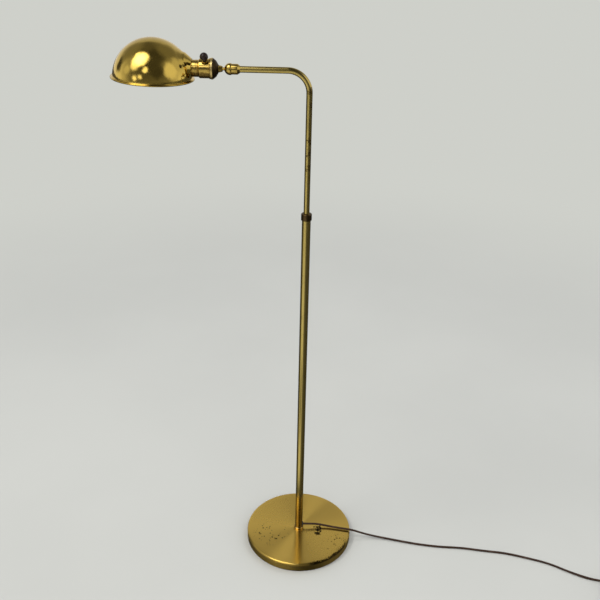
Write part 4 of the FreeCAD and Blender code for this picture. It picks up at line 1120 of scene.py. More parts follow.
@dataclass
class SocketPart:
    """Cap, stepped shell, switch bushing and knob."""

    cap_start: float = 156.7
    shell_start: float = 167.3
    mouth: float = 16.9
    bead: float = 17.4
    wide: float = 16.3
    throat: float = 14.1
    throat_start: float = 23.9
    throat_end: float = 48.9
    switch_reach: float = 179.2
    switch_lean: float = 35.0
    knob_distance: float = 27.0
    knob_radius: float = 7.1
    knob_neck: float = 3.3
    knob_gap: float = 2.2
    cap_hole: float = 4.95
    cap_rim: float = 18.0
    cap_edge: float = 9.3
    cap_length: float = 12.6
    cap_inside: float = 4.6

    def on_switch(self, distance: float) -> Matrix:
        """Place on the switch shaft's axis, a distance out from the socket's axis."""
        lean = math.radians(self.switch_lean)
        return placed(
            -self.switch_reach,
            -distance * math.sin(lean),
            ARM_HEIGHT + distance * math.cos(lean),
            Matrix.Rotation(lean, 4, "X"),
        )

    def cap_outline(self) -> list[tuple[float, float]]:
        """Outline of the bell-shaped cap."""
        return rounded(
            [
                (self.cap_hole, 0.0),
                (6.9, 0.0, 0.55),
                (13.3, 3.8, 3.3),
                (17.72, self.cap_edge),
                (self.cap_rim, self.cap_edge + 0.28),
                (self.cap_rim, self.cap_length, 0.36),
                (self.mouth, self.cap_length),
                (self.mouth, 10.3),
                (12.2, self.cap_inside),
                (self.cap_hole, self.cap_inside),
            ]
        )

    def shell_outline(self) -> list[tuple[float, float]]:
        """Outline of the stepped shell."""
        wall = 0.6
        return rounded(
            [
                (self.mouth, 0.0),
                (self.mouth, 2.3),
                (self.bead, 2.6, 0.25),
                (self.bead, 4.7, 0.3),
                (self.wide, 5.3, 0.3),
                (self.wide, 21.4, 0.6),
                (self.throat, self.throat_start, 0.6),
                (self.throat, self.throat_end),
                (self.throat - wall, self.throat_end),
                (self.throat - wall, self.throat_start - wall / 2),
                (self.wide - wall, 21.1),
                (self.wide - wall, 2.9),
                (self.mouth - wall, 2.3),
                (self.mouth - wall, 0.0),
            ]
        )

    def build(self, look: Palette) -> None:
        """Makes the socket's outside and its knob."""
        place = along_arm(self.cap_start)
        cap = lathe("bell_cap", self.cap_outline(), place, TUBE_SEGMENTS)
        dress(cap, look.cap, "head", "dark_bronze", "socket_cap")
        place = along_arm(self.shell_start)
        shell = lathe("stepped_shell", self.shell_outline(), place, TUBE_SEGMENTS)
        dress(shell, look.turned, "head", "socket_brass", "socket_shell")
        place = along_arm(self.shell_start + self.throat_start + 0.6)
        thread = Thread(self.throat - 0.15, 11.0, 0.55, 64).build("throat_thread", look.turned, place)
        dress(thread, look.turned, "head", "socket_brass")
        bushing = smooth_copy("knob_bushing", "switch_bushing")
        dress(bushing, look.turned, "head", "socket_brass", "switch_bushing")
        place = self.on_switch(self.knob_distance)
        knob = lathe("turn_knob", self.knob_outline(), place, SMALL_SEGMENTS)
        dress(knob, look.knob, "knob", "knob_black", "switch_knob")

    def knob_outline(self) -> list[tuple[float, float]]:
        """Outline of the knob's ball and neck, about the ball's centre."""
        radius, neck, steps = self.knob_radius, self.knob_neck, 28
        low = self.wide + self.knob_gap - self.knob_distance
        start = math.asin(neck / radius)
        ball = [(0.0, radius)]
        for k in range(1, steps + 1):
            angle = math.pi * k / steps
            if angle > math.pi - start:
                break
            ball.append((radius * math.sin(angle), radius * math.cos(angle)))
        return ball + [(neck, -radius * math.cos(start)), (neck, low), (0.0, low)]


@dataclass
class ShadePart:
    """Half-round shade with its neck and rolled rim, and its ring."""

    dome: float = 68.2
    wall: float = 0.8
    centre: float = 270.7
    drop: float = 18.5
    rise: float = 1.5
    rake: float = 2.4
    throat: float = 14.4
    face: float = 68.5
    blend: float = 15.0
    fillet: tuple[float, float] = (0.30, 0.60)
    rim: float = 72.0
    bead: float = 1.4
    flare: float = 2.4
    shoulder: float = 25.6
    neck_length: float = 12.5
    columns: int = 176
    dome_rows: int = 112
    flare_steps: int = 8
    roll_start: float = 98.0
    roll_turn: float = 262.0
    roll_steps: int = 24

    def neck(self) -> list[tuple[float, float]]:
        """Outline of the neck as (distance along the socket's axis, radius)."""
        corners = [
            (self.face, 0.0),
            (self.face, self.throat),
            (self.face, 16.0, 1.2),
            (self.face - 6.0, 21.2, 2.4),
            (self.face - self.neck_length, self.shoulder, 2.4),
            (40.0, self.shoulder),
            (40.0, 0.0),
        ]
        points = rounded(corners, 6.0)[1:-2]
        points += [(along, self.shoulder) for along in range(54, 8, -2)]
        # Inside the dome the neck's surface closes, so that it never shows.
        return points + [(6.0, 22.0), (2.0, 14.0), (0.0, 4.0)]

    def sheet(self) -> tuple[np.ndarray, np.ndarray]:
        """Outer surface of dome and neck as a grid, and its outward normals.

        Each row lies at one angle from the socket's axis, seen from the point of that axis above the
        dome's centre, and the surface there is the farther of the dome and the neck, eased.

        Returns:
            Two arrays of rows x columns x 3, in millimetres about that point.
        """
        outline = self.neck()
        turns = np.array([math.atan2(radius, along) for along, radius in outline])
        reach = np.array([math.hypot(along, radius) for along, radius in outline])
        root = math.atan2(self.shoulder, self.face - self.neck_length)
        rows = [turn for turn in turns if turn < root + 0.02]
        rows += list(np.linspace(root + 0.04, math.pi, self.dome_rows))
        theta = np.array(sorted(set(rows)))
        phi = np.linspace(0.0, 2 * math.pi, self.columns, endpoint=False)
        tt, pp = np.meshgrid(theta, phi, indexing="ij")
        way = np.stack([np.cos(tt), np.sin(tt) * np.sin(pp), np.sin(tt) * np.cos(pp)], axis=-1)
        down = self.drop * way[..., 2]
        dome = -down + np.sqrt(down**2 + self.dome**2 - self.drop**2)
        neck = np.interp(tt, turns, reach)
        ease = np.maximum(self.blend - np.abs(dome - neck), 0.0) / self.blend
        fade = np.clip((tt - self.fillet[0]) / (self.fillet[1] - self.fillet[0]), 0.0, 1.0)
        far = np.maximum(dome, neck) + fade * ease**2 * self.blend / 4
        grid = way * far[..., None]
        down_rows = np.gradient(grid, axis=0)
        round_columns = np.roll(grid, -1, axis=1) - np.roll(grid, 1, axis=1)
        normals = np.cross(down_rows, round_columns)
        normals[-1] = (-1.0, 0.0, 0.0)
        normals /= np.maximum(np.linalg.norm(normals, axis=-1, keepdims=True), 1e-12)
        normals *= np.sign(np.sum(normals * way, axis=-1, keepdims=True))
        return grid, normals

    def shell(self) -> bpy.types.Object:
        """Dome and neck as a thin wall, cut off at the rim's plane."""
        outer, normals = self.sheet()
        inner = outer - normals * self.wall
        origin = np.array([-self.centre, 0.0, ARM_HEIGHT])
        vertices: list[np.ndarray] = []
        faces: list[tuple[int, ...]] = []
        starts = []
        for grid in (outer, inner):
            starts.append(len(vertices))
            vertices += list((grid[:-1].reshape(-1, 3) + origin) * MM)
            vertices.append((grid[-1, 0] + origin) * MM)
        rows, columns = outer.shape[0] - 1, outer.shape[1]
        for side, start in enumerate(starts):
            pole = start + rows * columns
            for i in range(rows):
                for j in range(columns):
                    k = (j + 1) % columns
                    a, b = start + i * columns, start + (i + 1) * columns
                    face = (a + j, a + k, b + k, b + j) if i < rows - 1 else (a + j, a + k, pole)
                    faces.append(face if side == 0 else tuple(reversed(face)))
        for j in range(columns):
            k = (j + 1) % columns
            faces.append((starts[0] + k, starts[0] + j, starts[1] + j, starts[1] + k))
        item = mesh_object("dome_and_neck", np.array(vertices), faces)
        bm = bmesh.new()
        bm.from_mesh(item.data)
        spot, normal = self.rim_plane()
        everything = list(bm.verts) + list(bm.edges) + list(bm.faces)
        bmesh.ops.bisect_plane(
            bm, geom=everything, dist=1e-7, plane_co=spot, plane_no=normal, clear_inner=True
        )
        loose = [edge for edge in bm.edges if edge.is_boundary]
        bmesh.ops.bridge_loops(bm, edges=loose)
        bmesh.ops.recalc_face_normals(bm, faces=bm.faces)
        bm.to_mesh(item.data)
        bm.free()
        item.data.shade_smooth()
        item.data.set_sharp_from_angle(angle=SHARP)
        return item

    def rim_plane(self) -> tuple[Vector, Vector]:
        """A point of the rim's plane and its upward normal."""
        spot = Vector((-self.centre, 0.0, ARM_HEIGHT - self.drop + self.rise)) * MM
        lean = math.radians(self.rake)
        return spot, Vector((math.sin(lean), 0.0, math.cos(lean)))

    def rolled_rim(self) -> bpy.types.Object:
        """Flare and rolled edge round the dome's foot."""
        roll = self.rim - self.bead
        on_dome = math.sqrt(self.dome**2 - (self.rise + self.flare) ** 2)
        points = [(on_dome - 1.0, self.flare)]
        start, bend = (on_dome + 0.02, self.flare), (on_dome + 0.12, 1.32)
        end = (roll - 0.3, 1.365)
        for k in range(self.flare_steps + 1):
            t = k / self.flare_steps
            shares = ((1 - t) ** 2, 2 * t * (1 - t), t**2)
            points.append(
                tuple(shares[0] * a + shares[1] * b + shares[2] * c for a, b, c in zip(start, bend, end))
            )
        for k in range(self.roll_steps + 1):
            angle = math.radians(self.roll_start - self.roll_turn * k / self.roll_steps)
            points.append((roll + self.bead * math.cos(angle), self.bead * math.sin(angle)))
        points += [(on_dome - 1.0, -0.3)]
        lean = Matrix.Rotation(math.radians(self.rake), 4, "Y")
        place = placed(-self.centre, 0.0, ARM_HEIGHT - self.drop + self.rise, lean)
        return lathe("rolled_rim", points, place, WIDE_SEGMENTS)

    def build(self, look: Palette) -> None:
        """Makes the shade and its ring."""
        shade = join("brass_shade", self.shell(), self.rolled_rim())
        dress(shade, look.shade, "head", "shade_brass", "shade")
        corners = [(14.1, 0.0), (14.8, 0.0), (18.0, 5.6), (18.0, 8.0, 0.8), (14.1, 8.0)]
        place = along_arm(self.centre - self.face + self.wall)
        ring = lathe("neck_ring", rounded(corners), place, SMALL_SEGMENTS)
        dress(ring, look.inner_brass, "head", "plain_brass", "shade_ring")


@dataclass
class Bulb:
    """Screw cap and coated glass of the bulb."""

    start: float = 186.95
    cap_radius: float = 12.0
    cap_length: float = 24.5
    thread_start: float = 5.0
    glass_radius: float = 15.5
    glass_length: float = 84.0

    def build(self, look: Palette) -> None:
        """Makes the cap with its thread, and the glass."""
        wide, top = self.cap_radius, self.cap_length
        corners = [
            (0.0, 0.0), (4.0, 0.0, 0.4), (4.0, 0.6), (wide, 3.6, 0.6), (wide, top), (0.0, top),
        ]
        cap = lathe("bulb_screw_cap", rounded(corners), along_arm(self.start), SMALL_SEGMENTS)
        place = along_arm(self.start + self.thread_start)
        thread = Thread(11.95, 16.0, 0.6, 48).build("bulb_thread", look.cap_metal, place)
        whole = join("bulb_screw_cap", cap, thread)
        dress(whole, look.cap_metal, "head", "bulb_metal", "bulb_cap")
        corners = [
            (0.0, 0.0),
            (wide, 0.0),
            (wide, 6.5, 7.4),
            (self.glass_radius, 18.5, 7.4),
            (self.glass_radius, self.glass_length, 14.8),
            (0.0, self.glass_length),
        ]
        place = along_arm(self.start + self.cap_length)
        glass = lathe("bulb_envelope", rounded(corners), place, TUBE_SEGMENTS)
        dress(glass, look.glass, "head", "bulb_glass", "bulb_glass")


# ---------------------------------------------------------------------------------------------
# Cord
# ---------------------------------------------------------------------------------------------

# The cord's free stretch from the grommet over the base to the floor.
CORD_ROUTE = [
    (0.0103, 0.0, 0.0295),
    (0.0250, 0.0, 0.0295),
    (0.0415, 0.0026, 0.0274),
    (0.0620, 0.0010, 0.0243),
    (0.0890, -0.0040, 0.0232),
    (0.1210, -0.0098, 0.0237),
    (0.1460, -0.0082, 0.0129),
    (0.1720, -0.0074, 0.0050),
    (0.2140, -0.0146, 0.0024),
    (0.2680, -0.0266, 0.0019),
    (0.3180, -0.0332, 0.0020),
    (0.3660, -0.0340, 0.0019),
    (0.4120, -0.0416, 0.0020),
    (0.4620, -0.0468, 0.0019),
    (0.5040, -0.0590, 0.0020),
    (0.5520, -0.0740, 0.0019),
    (0.5900, -0.0980, 0.0022),
    (0.6260, -0.1170, 0.0027),
    (0.6568, -0.1236, 0.0028),
    (0.6888, -0.1249, 0.0028),
]
# From the end of the coil to the plug's rear face.
TAIL_ROUTE = [
    (0.7280, -0.1800, 0.0188),
    (0.7306, -0.2003, 0.0142),
    (0.7349, -0.2222, 0.0080),
    (0.7375, -0.2411, 0.0080),
]


@dataclass
class Plug:
    """Moulded plug with ribs and two flat blades, its own +X pointing away from the cord."""

    stations: tuple[Corner, ...] = (
        (0.0, 5.2, 4.6),
        (1.2, 6.2, 5.4),
        (5.0, 9.2, 6.6),
        (9.0, 10.4, 7.2),
        (16.0, 10.6, 7.4),
        (21.0, 11.2, 7.6),
        (25.5, 12.4, 7.95),
        (28.6, 12.4, 7.95),
        (29.6, 11.9, 7.4),
        (30.0, 11.2, 6.7),
    )
    around: int = 48
    squareness: float = 0.55
    ribs: int = 5
    rib_spacing: float = 2.6
    rib_size: Corner = (1.5, 2.2, 9.6)
    rib_start: float = 8.0
    rib_aside: float = 9.9
    blade_length: float = 16.5
    blade_half_width: float = 3.175
    blade_half_thick: float = 0.75
    blade_corner: float = 1.6
    blade_aside: float = 6.35

    def shell(self, place: Matrix) -> bpy.types.Object:
        """The moulding, a run of rounded squares."""
        rings = []
        for along, wide, high in self.stations:
            for k in range(self.around):
                angle = 2 * math.pi * k / self.around
                c, s = math.cos(angle), math.sin(angle)
                y = wide * math.copysign(abs(c) ** self.squareness, c)
                z = high * math.copysign(abs(s) ** self.squareness, s)
                rings.append((along * MM, y * MM, z * MM))
        spots = np.array([place @ Vector(v) for v in rings])
        return mesh_object("plug_shell", spots, tube_faces(len(self.stations), self.around))

    def blade(self, sign: int, place: Matrix) -> bpy.types.Object:
        """One blade, a flat plate with two rounded corners."""
        long, half = self.blade_length, self.blade_half_width
        profile = rounded(
            [(0, -half), (long, -half, self.blade_corner), (long, half, self.blade_corner), (0, half)]
        )
        count, tip, aside = len(profile), self.stations[-1][0], sign * self.blade_aside
        points = []
        for w in (-self.blade_half_thick, self.blade_half_thick):
            points += [place @ (Vector((tip + u, aside + w, v)) * MM) for u, v in profile]
        sheets = [tuple(reversed(range(count))), tuple(range(count, 2 * count))]
        for j in range(count):
            k = (j + 1) % count
            sheets.append((j, k, count + k, count + j))
        return mesh_object(f"blade_{sign}", np.array([tuple(p) for p in points]), sheets)

    def build(self, look: Palette, heading: Vector, entry: Vector) -> list[bpy.types.Object]:
        """Makes the moulding and the blades where the cord ends."""
        ahead = heading.normalized()
        up = Vector((0.0, 0.0, 1.0))
        turn = Matrix((ahead, up.cross(ahead), up)).transposed().to_4x4()
        place = Matrix.Translation(entry) @ turn
        shell = self.shell(place)
        tree = row_tree()
        values = {
            "Count": self.ribs,
            "Spacing": (self.rib_spacing * MM, 0.0, 0.0),
            "Size": tuple(size * MM for size in self.rib_size),
            "Material": look.plug,
        }
        ribs = []
        for sign in (1, -1):
            shift = Vector((self.rib_start, sign * self.rib_aside, 0.0)) * MM
            shifted = place @ Matrix.Translation(shift)
            ribs.append(tree.run(f"plug_ribs_{sign}", values, place=shifted))
        body = join("plug_moulding", shell, *ribs)
        dress(body, look.plug, "stand", "plug_brown", "plug_body")
        pair = join("plug_contacts", *[self.blade(sign, place) for sign in (1, -1)])
        dress(pair, look.inner_brass, "stand", "plain_brass", "plug_blades")
        return [body, pair]


@dataclass
class Cord:
    """Flat twin cord, its put-away coil with a tie, and its strain relief at the plug."""

    width: float = 0.0052
    half_thick: float = 0.00135
    coil_middle: tuple[float, float] = (0.6940, -0.15715)
    coil_radius: float = 0.0290
    coil_turns: float = 9.25
    layers: int = 4
    beside: float = 0.00295
    above: float = 0.0055
    floor: float = 0.0028
    per_turn: int = 16
    stands_up: tuple[float, float] = (0.59, 0.67)
    lies_down: tuple[float, float] = (0.022, 0.05)
    sway: float = 0.16
    length: float = 2.45
    tie_angle: float = -60.0
    tie_half: float = 0.0062
    tie_corner: float = 0.003
    tie_lift: float = 0.0006
    relief_length: float = 0.024
    relief_start: float = 0.0031
    relief_growth: float = 0.0019
    relief_groove: float = 0.84
    relief_flatness: float = 0.82
    relief_steps: int = 48
    relief_around: int = 28

    def coil(self) -> list[tuple[float, float, float]]:
        """Points of the coil, clockwise from its far side."""
        per_layer = self.coil_turns / self.layers
        widest = self.coil_radius + self.beside * per_layer / 2
        points = []
        count = int(round(self.coil_turns * self.per_turn))
        for i in range(count + 1):
            turn = i / self.per_turn
            layer, done = divmod(turn / per_layer, 1.0)
            run_in = done if int(layer) % 2 == 0 else 1.0 - done
            radius = widest - self.beside * per_layer * run_in
            climb = 0.0
            for k in range(1, self.layers):
                climb += min(1.0, max(0.0, (turn - k * per_layer + 0.25) / 0.5))
            angle = math.pi / 2 - 2 * math.pi * turn
            across = self.coil_middle[0] + radius * math.cos(angle)
            away = self.coil_middle[1] + radius * math.sin(angle)
            points.append((across, away, self.floor + climb * self.above))
        return points

    def centre_line(self) -> np.ndarray:
        """Points read from the route's smooth curve."""
        curve = bpy.data.curves.new("cord_line", "CURVE")
        curve.dimensions = "3D"
        spline = curve.splines.new("NURBS")
        points = CORD_ROUTE + self.coil() + TAIL_ROUTE
        spline.points.add(len(points) - 1)
        for spot, place in zip(spline.points, points):
            spot.co = (*place, 1.0)
        spline.order_u = 3
        spline.use_endpoint_u = True
        spline.resolution_u = 6
        mesh = evaluated(linked("cord_line", curve))
        line = np.array([tuple(v.co) for v in mesh.vertices])
        bpy.data.meshes.remove(mesh)
        return line

    def section(self) -> np.ndarray:
        """Outline of the twin cord: two round conductors side by side."""
        radius = self.half_thick
        apart = self.width / 2 - radius
        waist, steps = 122.0, 10
        points = []
        for side in (1.0, -1.0):
            for k in range(steps + 1):
                angle = math.radians(-waist + 2 * waist * k / steps)
                points.append((side * (apart + radius * math.cos(angle)), side * radius * math.sin(angle)))
        return np.array(points)

    def frames(self, line: np.ndarray) -> tuple[np.ndarray, np.ndarray, np.ndarray]:
        """Side and up directions of the section along the line, and the lengths to each point."""
        sides, ups = level_frame(line)
        done = lengths_along(line)
        low, high = self.stands_up
        rest, fade = self.lies_down
        rise = np.clip((done - low) / (high - low), 0, 1)
        fall = np.clip((done[-1] - rest - done) / fade, 0, 1)
        ease = (rise**2 * (3 - 2 * rise)) * (fall**2 * (3 - 2 * fall))
        sway = self.sway * np.sin(done / 0.041) * np.sin(done / 0.107) * np.clip(1 - rise, 0, 1)
        twist = ease * math.pi / 2 + sway
        turned = sides * np.cos(twist)[:, None] + ups * np.sin(twist)[:, None]
        risen = -sides * np.sin(twist)[:, None] + ups * np.cos(twist)[:, None]
        return turned, risen, done

    def tie(self, look: Palette) -> bpy.types.Object:
        """A band round one side of the coil."""
        angle = math.radians(self.tie_angle)
        middle = np.array([self.coil_middle[0], self.coil_middle[1], 0.0])
        out = np.array([math.cos(angle), math.sin(angle), 0.0])
        spot = middle + out * self.coil_radius * 0.981
        low, high = self.tie_lift, self.floor + 3 * self.above + 0.0029
        half, wide, corner = (high - low) / 2, self.tie_half, self.tie_corner
        loop = []
        for cx, cz, start in ((1, 1, 0), (-1, 1, 90), (-1, -1, 180), (1, -1, 270)):
            for k in range(7):
                a = math.radians(start + 15 * k)
                u = cx * (wide - corner) + corner * math.cos(a)
                loop.append((u, cz * (half - corner) + corner * math.sin(a)))
        loop.append(loop[0])
        path = np.array([spot + out * u + np.array([0.0, 0.0, low + half + w]) for u, w in loop])
        along = np.cross(out, [0.0, 0.0, 1.0])
        sides = np.repeat(along[None, :], len(path), axis=0)
        ups = np.cross(unit_rows(np.gradient(path, axis=0)), sides)
        across, thick, edge = 4.5, 0.35, 0.3
        corners = [(-across, -thick), (across, -thick), (across, thick), (-across, thick)]
        band = np.array(rounded([(*place, edge) for place in corners])) * MM
        item = sweep("coil_tie", path, band, sides, ups)
        return dress(item, look.rubber, "stand", "black_rubber")

    def relief(self, look: Palette, line: np.ndarray, done: np.ndarray) -> bpy.types.Object:
        """Tapered strain relief along the cord's last stretch, with its ribs."""
        keep = done > done[-1] - self.relief_length
        path, part = line[keep], done[keep]
        share = (part - part[0]) / (part[-1] - part[0])
        steps = np.linspace(0.0, 1.0, self.relief_steps + 1)
        fine, sides, ups = (
            np.stack([np.interp(steps, share, rows[:, i]) for i in range(3)], axis=1)
            for rows in (path, *level_frame(path))
        )
        ribbed = (np.arange(len(steps)) // 3) % 2 == 0
        scales = self.relief_start + self.relief_growth * steps
        scales = scales * np.where(ribbed, 1.0, self.relief_groove)
        turns = [2 * math.pi * k / self.relief_around for k in range(self.relief_around)]
        section = np.array([(math.cos(a), self.relief_flatness * math.sin(a)) for a in turns])
        item = sweep("strain_relief", fine, section, sides, ups, scales)
        return dress(item, look.plug, "stand", "plug_brown")

    def build(self, look: Palette) -> None:
        line = self.centre_line()
        sides, ups, done = self.frames(line)
        cord = sweep("flat_cord", line, self.section(), sides, ups)
        dress(cord, look.cord, "stand", "cord_brown", "cord", "cord_coil", "cord_tail")
        heading = Vector(line[-1] - line[-2])
        heading.z = 0.0
        pieces = Plug().build(look, heading, Vector(line[-1]))
        pieces.append(self.relief(look, line, done))
        pieces.append(self.tie(look))
        LOG.info("cord: %.3f m along its line", done[-1])


# ---------------------------------------------------------------------------------------------
# Inner parts
# ---------------------------------------------------------------------------------------------


class InnerParts:
    """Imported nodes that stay, each with its finish."""

    def build(self, look: Palette) -> None:
        """Dresses the nodes."""
        finishes = {
            look.iron: ("base_weight",),
            look.steel: ("base_washer", "base_nut", "threaded_nipple", "swivel_pin", "seat_spring"),
            look.inner_brass: (
                "foot_bushing", "stop_ring_lower", "stop_ring_upper", "cap_nut", "screw_shell",
                "centre_contact", "terminal_screws", "switch_shaft",
            ),
            look.nylon: ("friction_bush", "guide_ring", "ball_seat"),
            look.fibre: ("insulating_liner",),
            look.phenolic: ("socket_body",),
            look.lead: ("lead_lower", "lead_upper", "lead_ball", "lead_tails"),
        }
        for material, nodes in finishes.items():
            for node in nodes:
                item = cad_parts[node]
                item.data.materials.clear()
                item.data.materials.append(material)
                LOG.info("%s: %s", node, material.name)


# ---------------------------------------------------------------------------------------------
# Studio
# ---------------------------------------------------------------------------------------------


@dataclass(frozen=True)
class SoftBox:
    """A soft lamp: where it stands, what it points at, its size and its power."""

    name: str
    place: tuple[float, float, float]
    target: tuple[float, float, float]
    size: tuple[float, float]
    power: float
    colour: tuple[float, float, float] = (1.0, 1.0, 1.0)

    def build(self) -> None:
        """Adds the lamp."""
        data = bpy.data.lights.new(self.name, "AREA")
        data.shape = "RECTANGLE"
        data.size, data.size_y = self.size
        data.energy = self.power
        data.color = self.colour
        item = linked(self.name, data)
        item.location = self.place
        way = Vector(self.target) - Vector(self.place)
        item.rotation_euler = way.to_track_quat("-Z", "Y").to_euler()
        item.visible_camera = False
        item.visible_glossy = False


def direction(azimuth: float, elevation: float = 0.0) -> tuple[float, float, float]:
    """Unit vector by its azimuth from +X and its elevation, in degrees."""
    turn, rise = math.radians(azimuth), math.radians(elevation)
    return (math.cos(turn) * math.cos(rise), math.sin(turn) * math.cos(rise), math.sin(rise))


@dataclass(frozen=True)
class Patch:
    """A soft patch of the surroundings as metal sees them: place and sizes in degrees, and level."""

    azimuth: float
    elevation: float
    core: float
    edge: float
    level: float


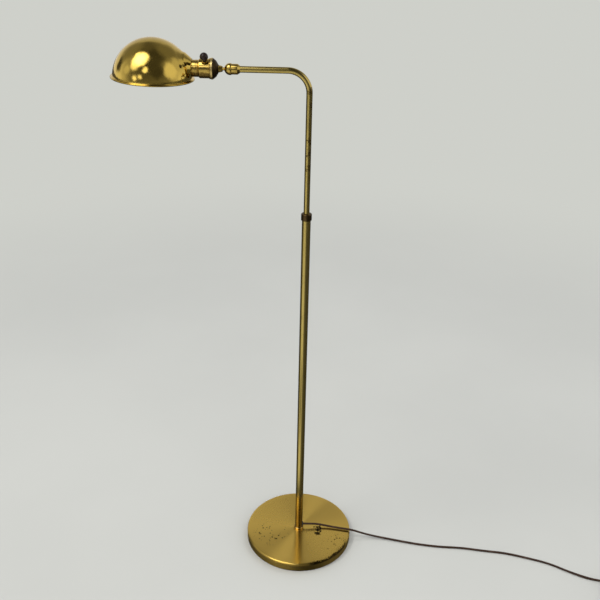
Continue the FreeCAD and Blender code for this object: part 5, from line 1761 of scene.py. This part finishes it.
@dataclass
class Studio:
    """Floor, lamps, surroundings and camera."""

    focal: float = 800.0
    frame_side: float = 600.0
    pitch: float = 26.68
    roll: float = 1.282
    yaw: float = -0.349
    height: float = 1.30039
    distance: float = 1.3978
    background: Colour = (0.62, 0.63, 0.59, 1.0)
    patches: tuple[Patch, ...] = (
        Patch(-50, 77, 8, 34, 0.05),
        Patch(-80, 50, 8, 30, 0.05),
        Patch(-66, 27, 8, 24, 0.05),
        Patch(135, 65, 8, 30, 0.10),
        Patch(150, 42, 8, 30, 0.20),
        Patch(38, 50, 8, 34, 0.17),
        Patch(158, 15, 5, 15, 0.06),
        Patch(-20, 23, 13, 25, 0.80),
        Patch(14, 28, 6, 18, 0.55),
        Patch(-164, 20, 6, 12, 0.65),
        Patch(-143, 38, 3, 16, 1.6),
        Patch(-102, 33, 2, 10, 1.7),
        Patch(-116, 12, 2, 8, 1.4),
        Patch(-132, 8, 2, 8, 1.6),
        Patch(-139, 58, 2, 25, 4.2),
    )
    # Brighter sectors of the floor as metal sees it: azimuth, nearness at its edge and core, level.
    sectors: tuple[Corner, ...] = ((-124.0, 0.66, 0.99, 0.66), (-64.0, 0.965, 0.995, 0.13))
    dim_floor: Colour = (0.040, 0.040, 0.036, 1.0)
    dim_near: Colour = (0.05, 0.05, 0.045, 1.0)
    floor_half: float = 16.0

    def camera(self) -> None:
        """Puts the camera where the photograph was taken."""
        pitch, roll, yaw = (math.radians(a) for a in (self.pitch, self.roll, self.yaw))
        level = math.cos(pitch)
        ahead = Vector((math.sin(yaw) * level, math.cos(yaw) * level, -math.sin(pitch)))
        right = Vector((math.cos(yaw), -math.sin(yaw), 0.0))
        up = right.cross(ahead)
        side = right * math.cos(roll) + up * math.sin(roll)
        top = up * math.cos(roll) - right * math.sin(roll)
        data = bpy.data.cameras.new("camera")
        data.sensor_width = 36.0
        data.lens = data.sensor_width * self.focal / self.frame_side
        item = linked("camera", data)
        turn = Matrix((side, top, -ahead)).transposed().to_4x4()
        item.matrix_world = Matrix.Translation((0.0, -self.distance, self.height)) @ turn
        bpy.context.scene.camera = item

    def floor(self) -> None:
        """A plain pale floor.

        Metal sees it darker, with brighter sectors. Far away the camera sees the background instead.
        """
        half = self.floor_half
        mesh = bpy.data.meshes.new("floor")
        corners = [(-half, -half, 0), (half, -half, 0), (half, half, 0), (-half, half, 0)]
        mesh.from_pydata(corners, [], [(0, 1, 2, 3)])
        item = linked("floor", mesh)
        shader = Shader("pale_floor")
        cloud = shader.remap(shader.noise(1.3, 4.0), 0.3, 0.7)
        pale = shader.mix(cloud, (0.585, 0.592, 0.562, 1.0), (0.615, 0.622, 0.590, 1.0))
        rays = shader.node("ShaderNodeLightPath").outputs
        way = shader.vector("NORMALIZE", shader.coords())
        dim: object = self.dim_floor
        for azimuth, low, high, level in self.sectors:
            share = shader.remap(shader.vector("DOT_PRODUCT", way, direction(azimuth)), low, high)
            dim = shader.mix(share, dim, (level, level, level * 0.95, 1.0))
        away = shader.distance_from_axis()
        # Painted shade: a dark patch of the floor that only metal sees, in reflection.
        painted_dark_patch = shader.maths("MULTIPLY", shader.near((-0.37, -0.52, 0.0), 0.12, 0.22), 0.7)
        dim = shader.mix(painted_dark_patch, dim, self.dim_near)
        dim = shader.mix(shader.remap(away, 0.13, 0.26), self.dim_near, dim)
        shader.feed("Base Color", shader.mix(rays["Is Glossy Ray"], pale, dim))
        shader.set(Roughness=0.6)
        far = shader.maths("MULTIPLY", shader.remap(away, 1.0, 2.6), rays["Is Camera Ray"])
        plain = shader.node("ShaderNodeEmission", {"Color": self.background, "Strength": 1.0})
        sockets = {0: far, 1: shader.surface.outputs[0], 2: plain.outputs[0]}
        blend = shader.node("ShaderNodeMixShader", sockets).outputs[0]
        shader.give(shader.tree.nodes["Material Output"].inputs[0], blend)
        mesh.materials.append(shader.material)

    def surroundings(self) -> None:
        """The plain background to the camera; to metal a studio with a bright back and a dim front."""
        world = bpy.data.worlds.new("studio")
        bpy.context.scene.world = world
        world.use_nodes = True
        world.node_tree.nodes.clear()
        nodes = Nodes(world.node_tree)
        way = nodes.node("ShaderNodeTexCoord").outputs["Generated"]
        _, y, z = nodes.node("ShaderNodeSeparateXYZ", {0: way}).outputs
        by_height = [(0.0, 0.80), (0.18, 0.66), (0.42, 0.52), (0.66, 0.44), (0.85, 0.14), (1.0, 0.05)]
        height = nodes.grey_ramp(z, by_height)
        depth = nodes.node("ShaderNodeMapRange", {"Value": y, 1: -1.0, 2: 1.0}).outputs[0]
        front = nodes.grey_ramp(depth, [(0.0, 0.16), (0.2, 0.22), (0.42, 0.75), (0.55, 1.0)])
        room = nodes.maths("MULTIPLY", height, front)
        inputs = {"Vector": way, "Scale": 7.0, "Detail": 4.0, "Roughness": 0.6}
        ragged = nodes.node("ShaderNodeTexNoise", inputs).outputs["Color"]
        middle = nodes.vector("SUBTRACT", ragged, (0.5, 0.5, 0.5))
        shift = nodes.node("ShaderNodeVectorMath", {0: middle, "Scale": 0.24}, operation="SCALE")
        bent = nodes.vector("NORMALIZE", nodes.vector("ADD", way, shift.outputs[0]))
        for patch in self.patches:
            toward = direction(patch.azimuth, patch.elevation)
            edge, core = (math.cos(math.radians(a)) for a in (patch.edge, patch.core))
            share = nodes.remap(nodes.vector("DOT_PRODUCT", bent, toward), edge, core)
            change = nodes.maths("SUBTRACT", patch.level, room)
            room = nodes.maths("ADD", room, nodes.maths("MULTIPLY", change, share))
        rays = nodes.node("ShaderNodeLightPath").outputs
        shown, diffuse, glossy = (
            nodes.node("ShaderNodeBackground", {"Color": colour, "Strength": strength}).outputs[0]
            for colour, strength in ((self.background, 1.0), ((0.97, 0.98, 1.0, 1.0), 0.72), (room, 1.0))
        )
        lit = nodes.node("ShaderNodeMixShader", {0: rays["Is Glossy Ray"], 1: diffuse, 2: glossy})
        seen = nodes.node("ShaderNodeMixShader", {0: rays["Is Camera Ray"], 1: lit.outputs[0], 2: shown})
        nodes.node("ShaderNodeOutputWorld", {0: seen.outputs[0]})

    def build(self) -> None:
        """Sets the stage."""
        scene = bpy.context.scene
        scene.view_settings.view_transform = "Standard"
        self.camera()
        self.floor()
        self.surroundings()
        head, stem, foot = (-0.25, 0.0, 0.95), (0.0, 0.0, 0.7), (0.0, 0.0, 0.0)
        boxes = (
            SoftBox("window_left", (-1.75, -0.80, 3.00), head, (1.2, 0.9), 36.0, (1.0, 0.98, 0.93)),
            SoftBox("window_low", (-0.62, -1.75, 2.05), head, (0.5, 0.5), 3.0, (1.0, 0.97, 0.90)),
            SoftBox("right_high", (1.10, 1.10, 2.60), foot, (1.2, 0.8), 10.0, (1.0, 0.99, 0.96)),
            SoftBox("right_front", (2.20, -1.00, 1.50), stem, (1.0, 1.4), 6.0, (1.0, 0.97, 0.92)),
        )
        for box in boxes:
            box.build()
            LOG.info("lamp %s", box.name)


def main() -> None:
    """Builds the studio and the lamp, piece by piece."""
    logging.basicConfig(level=logging.INFO, format="%(name)s %(message)s")
    Studio().build()
    look = Palette()
    Cord().build(look)
    Base().build(look)
    LowerStem().build(look)
    Mast().build(look)
    Swivel().build(look)
    SocketPart().build(look)
    ShadePart().build(look)
    Bulb().build(look)
    InnerParts().build(look)


if __name__ == "__main__":
    main()
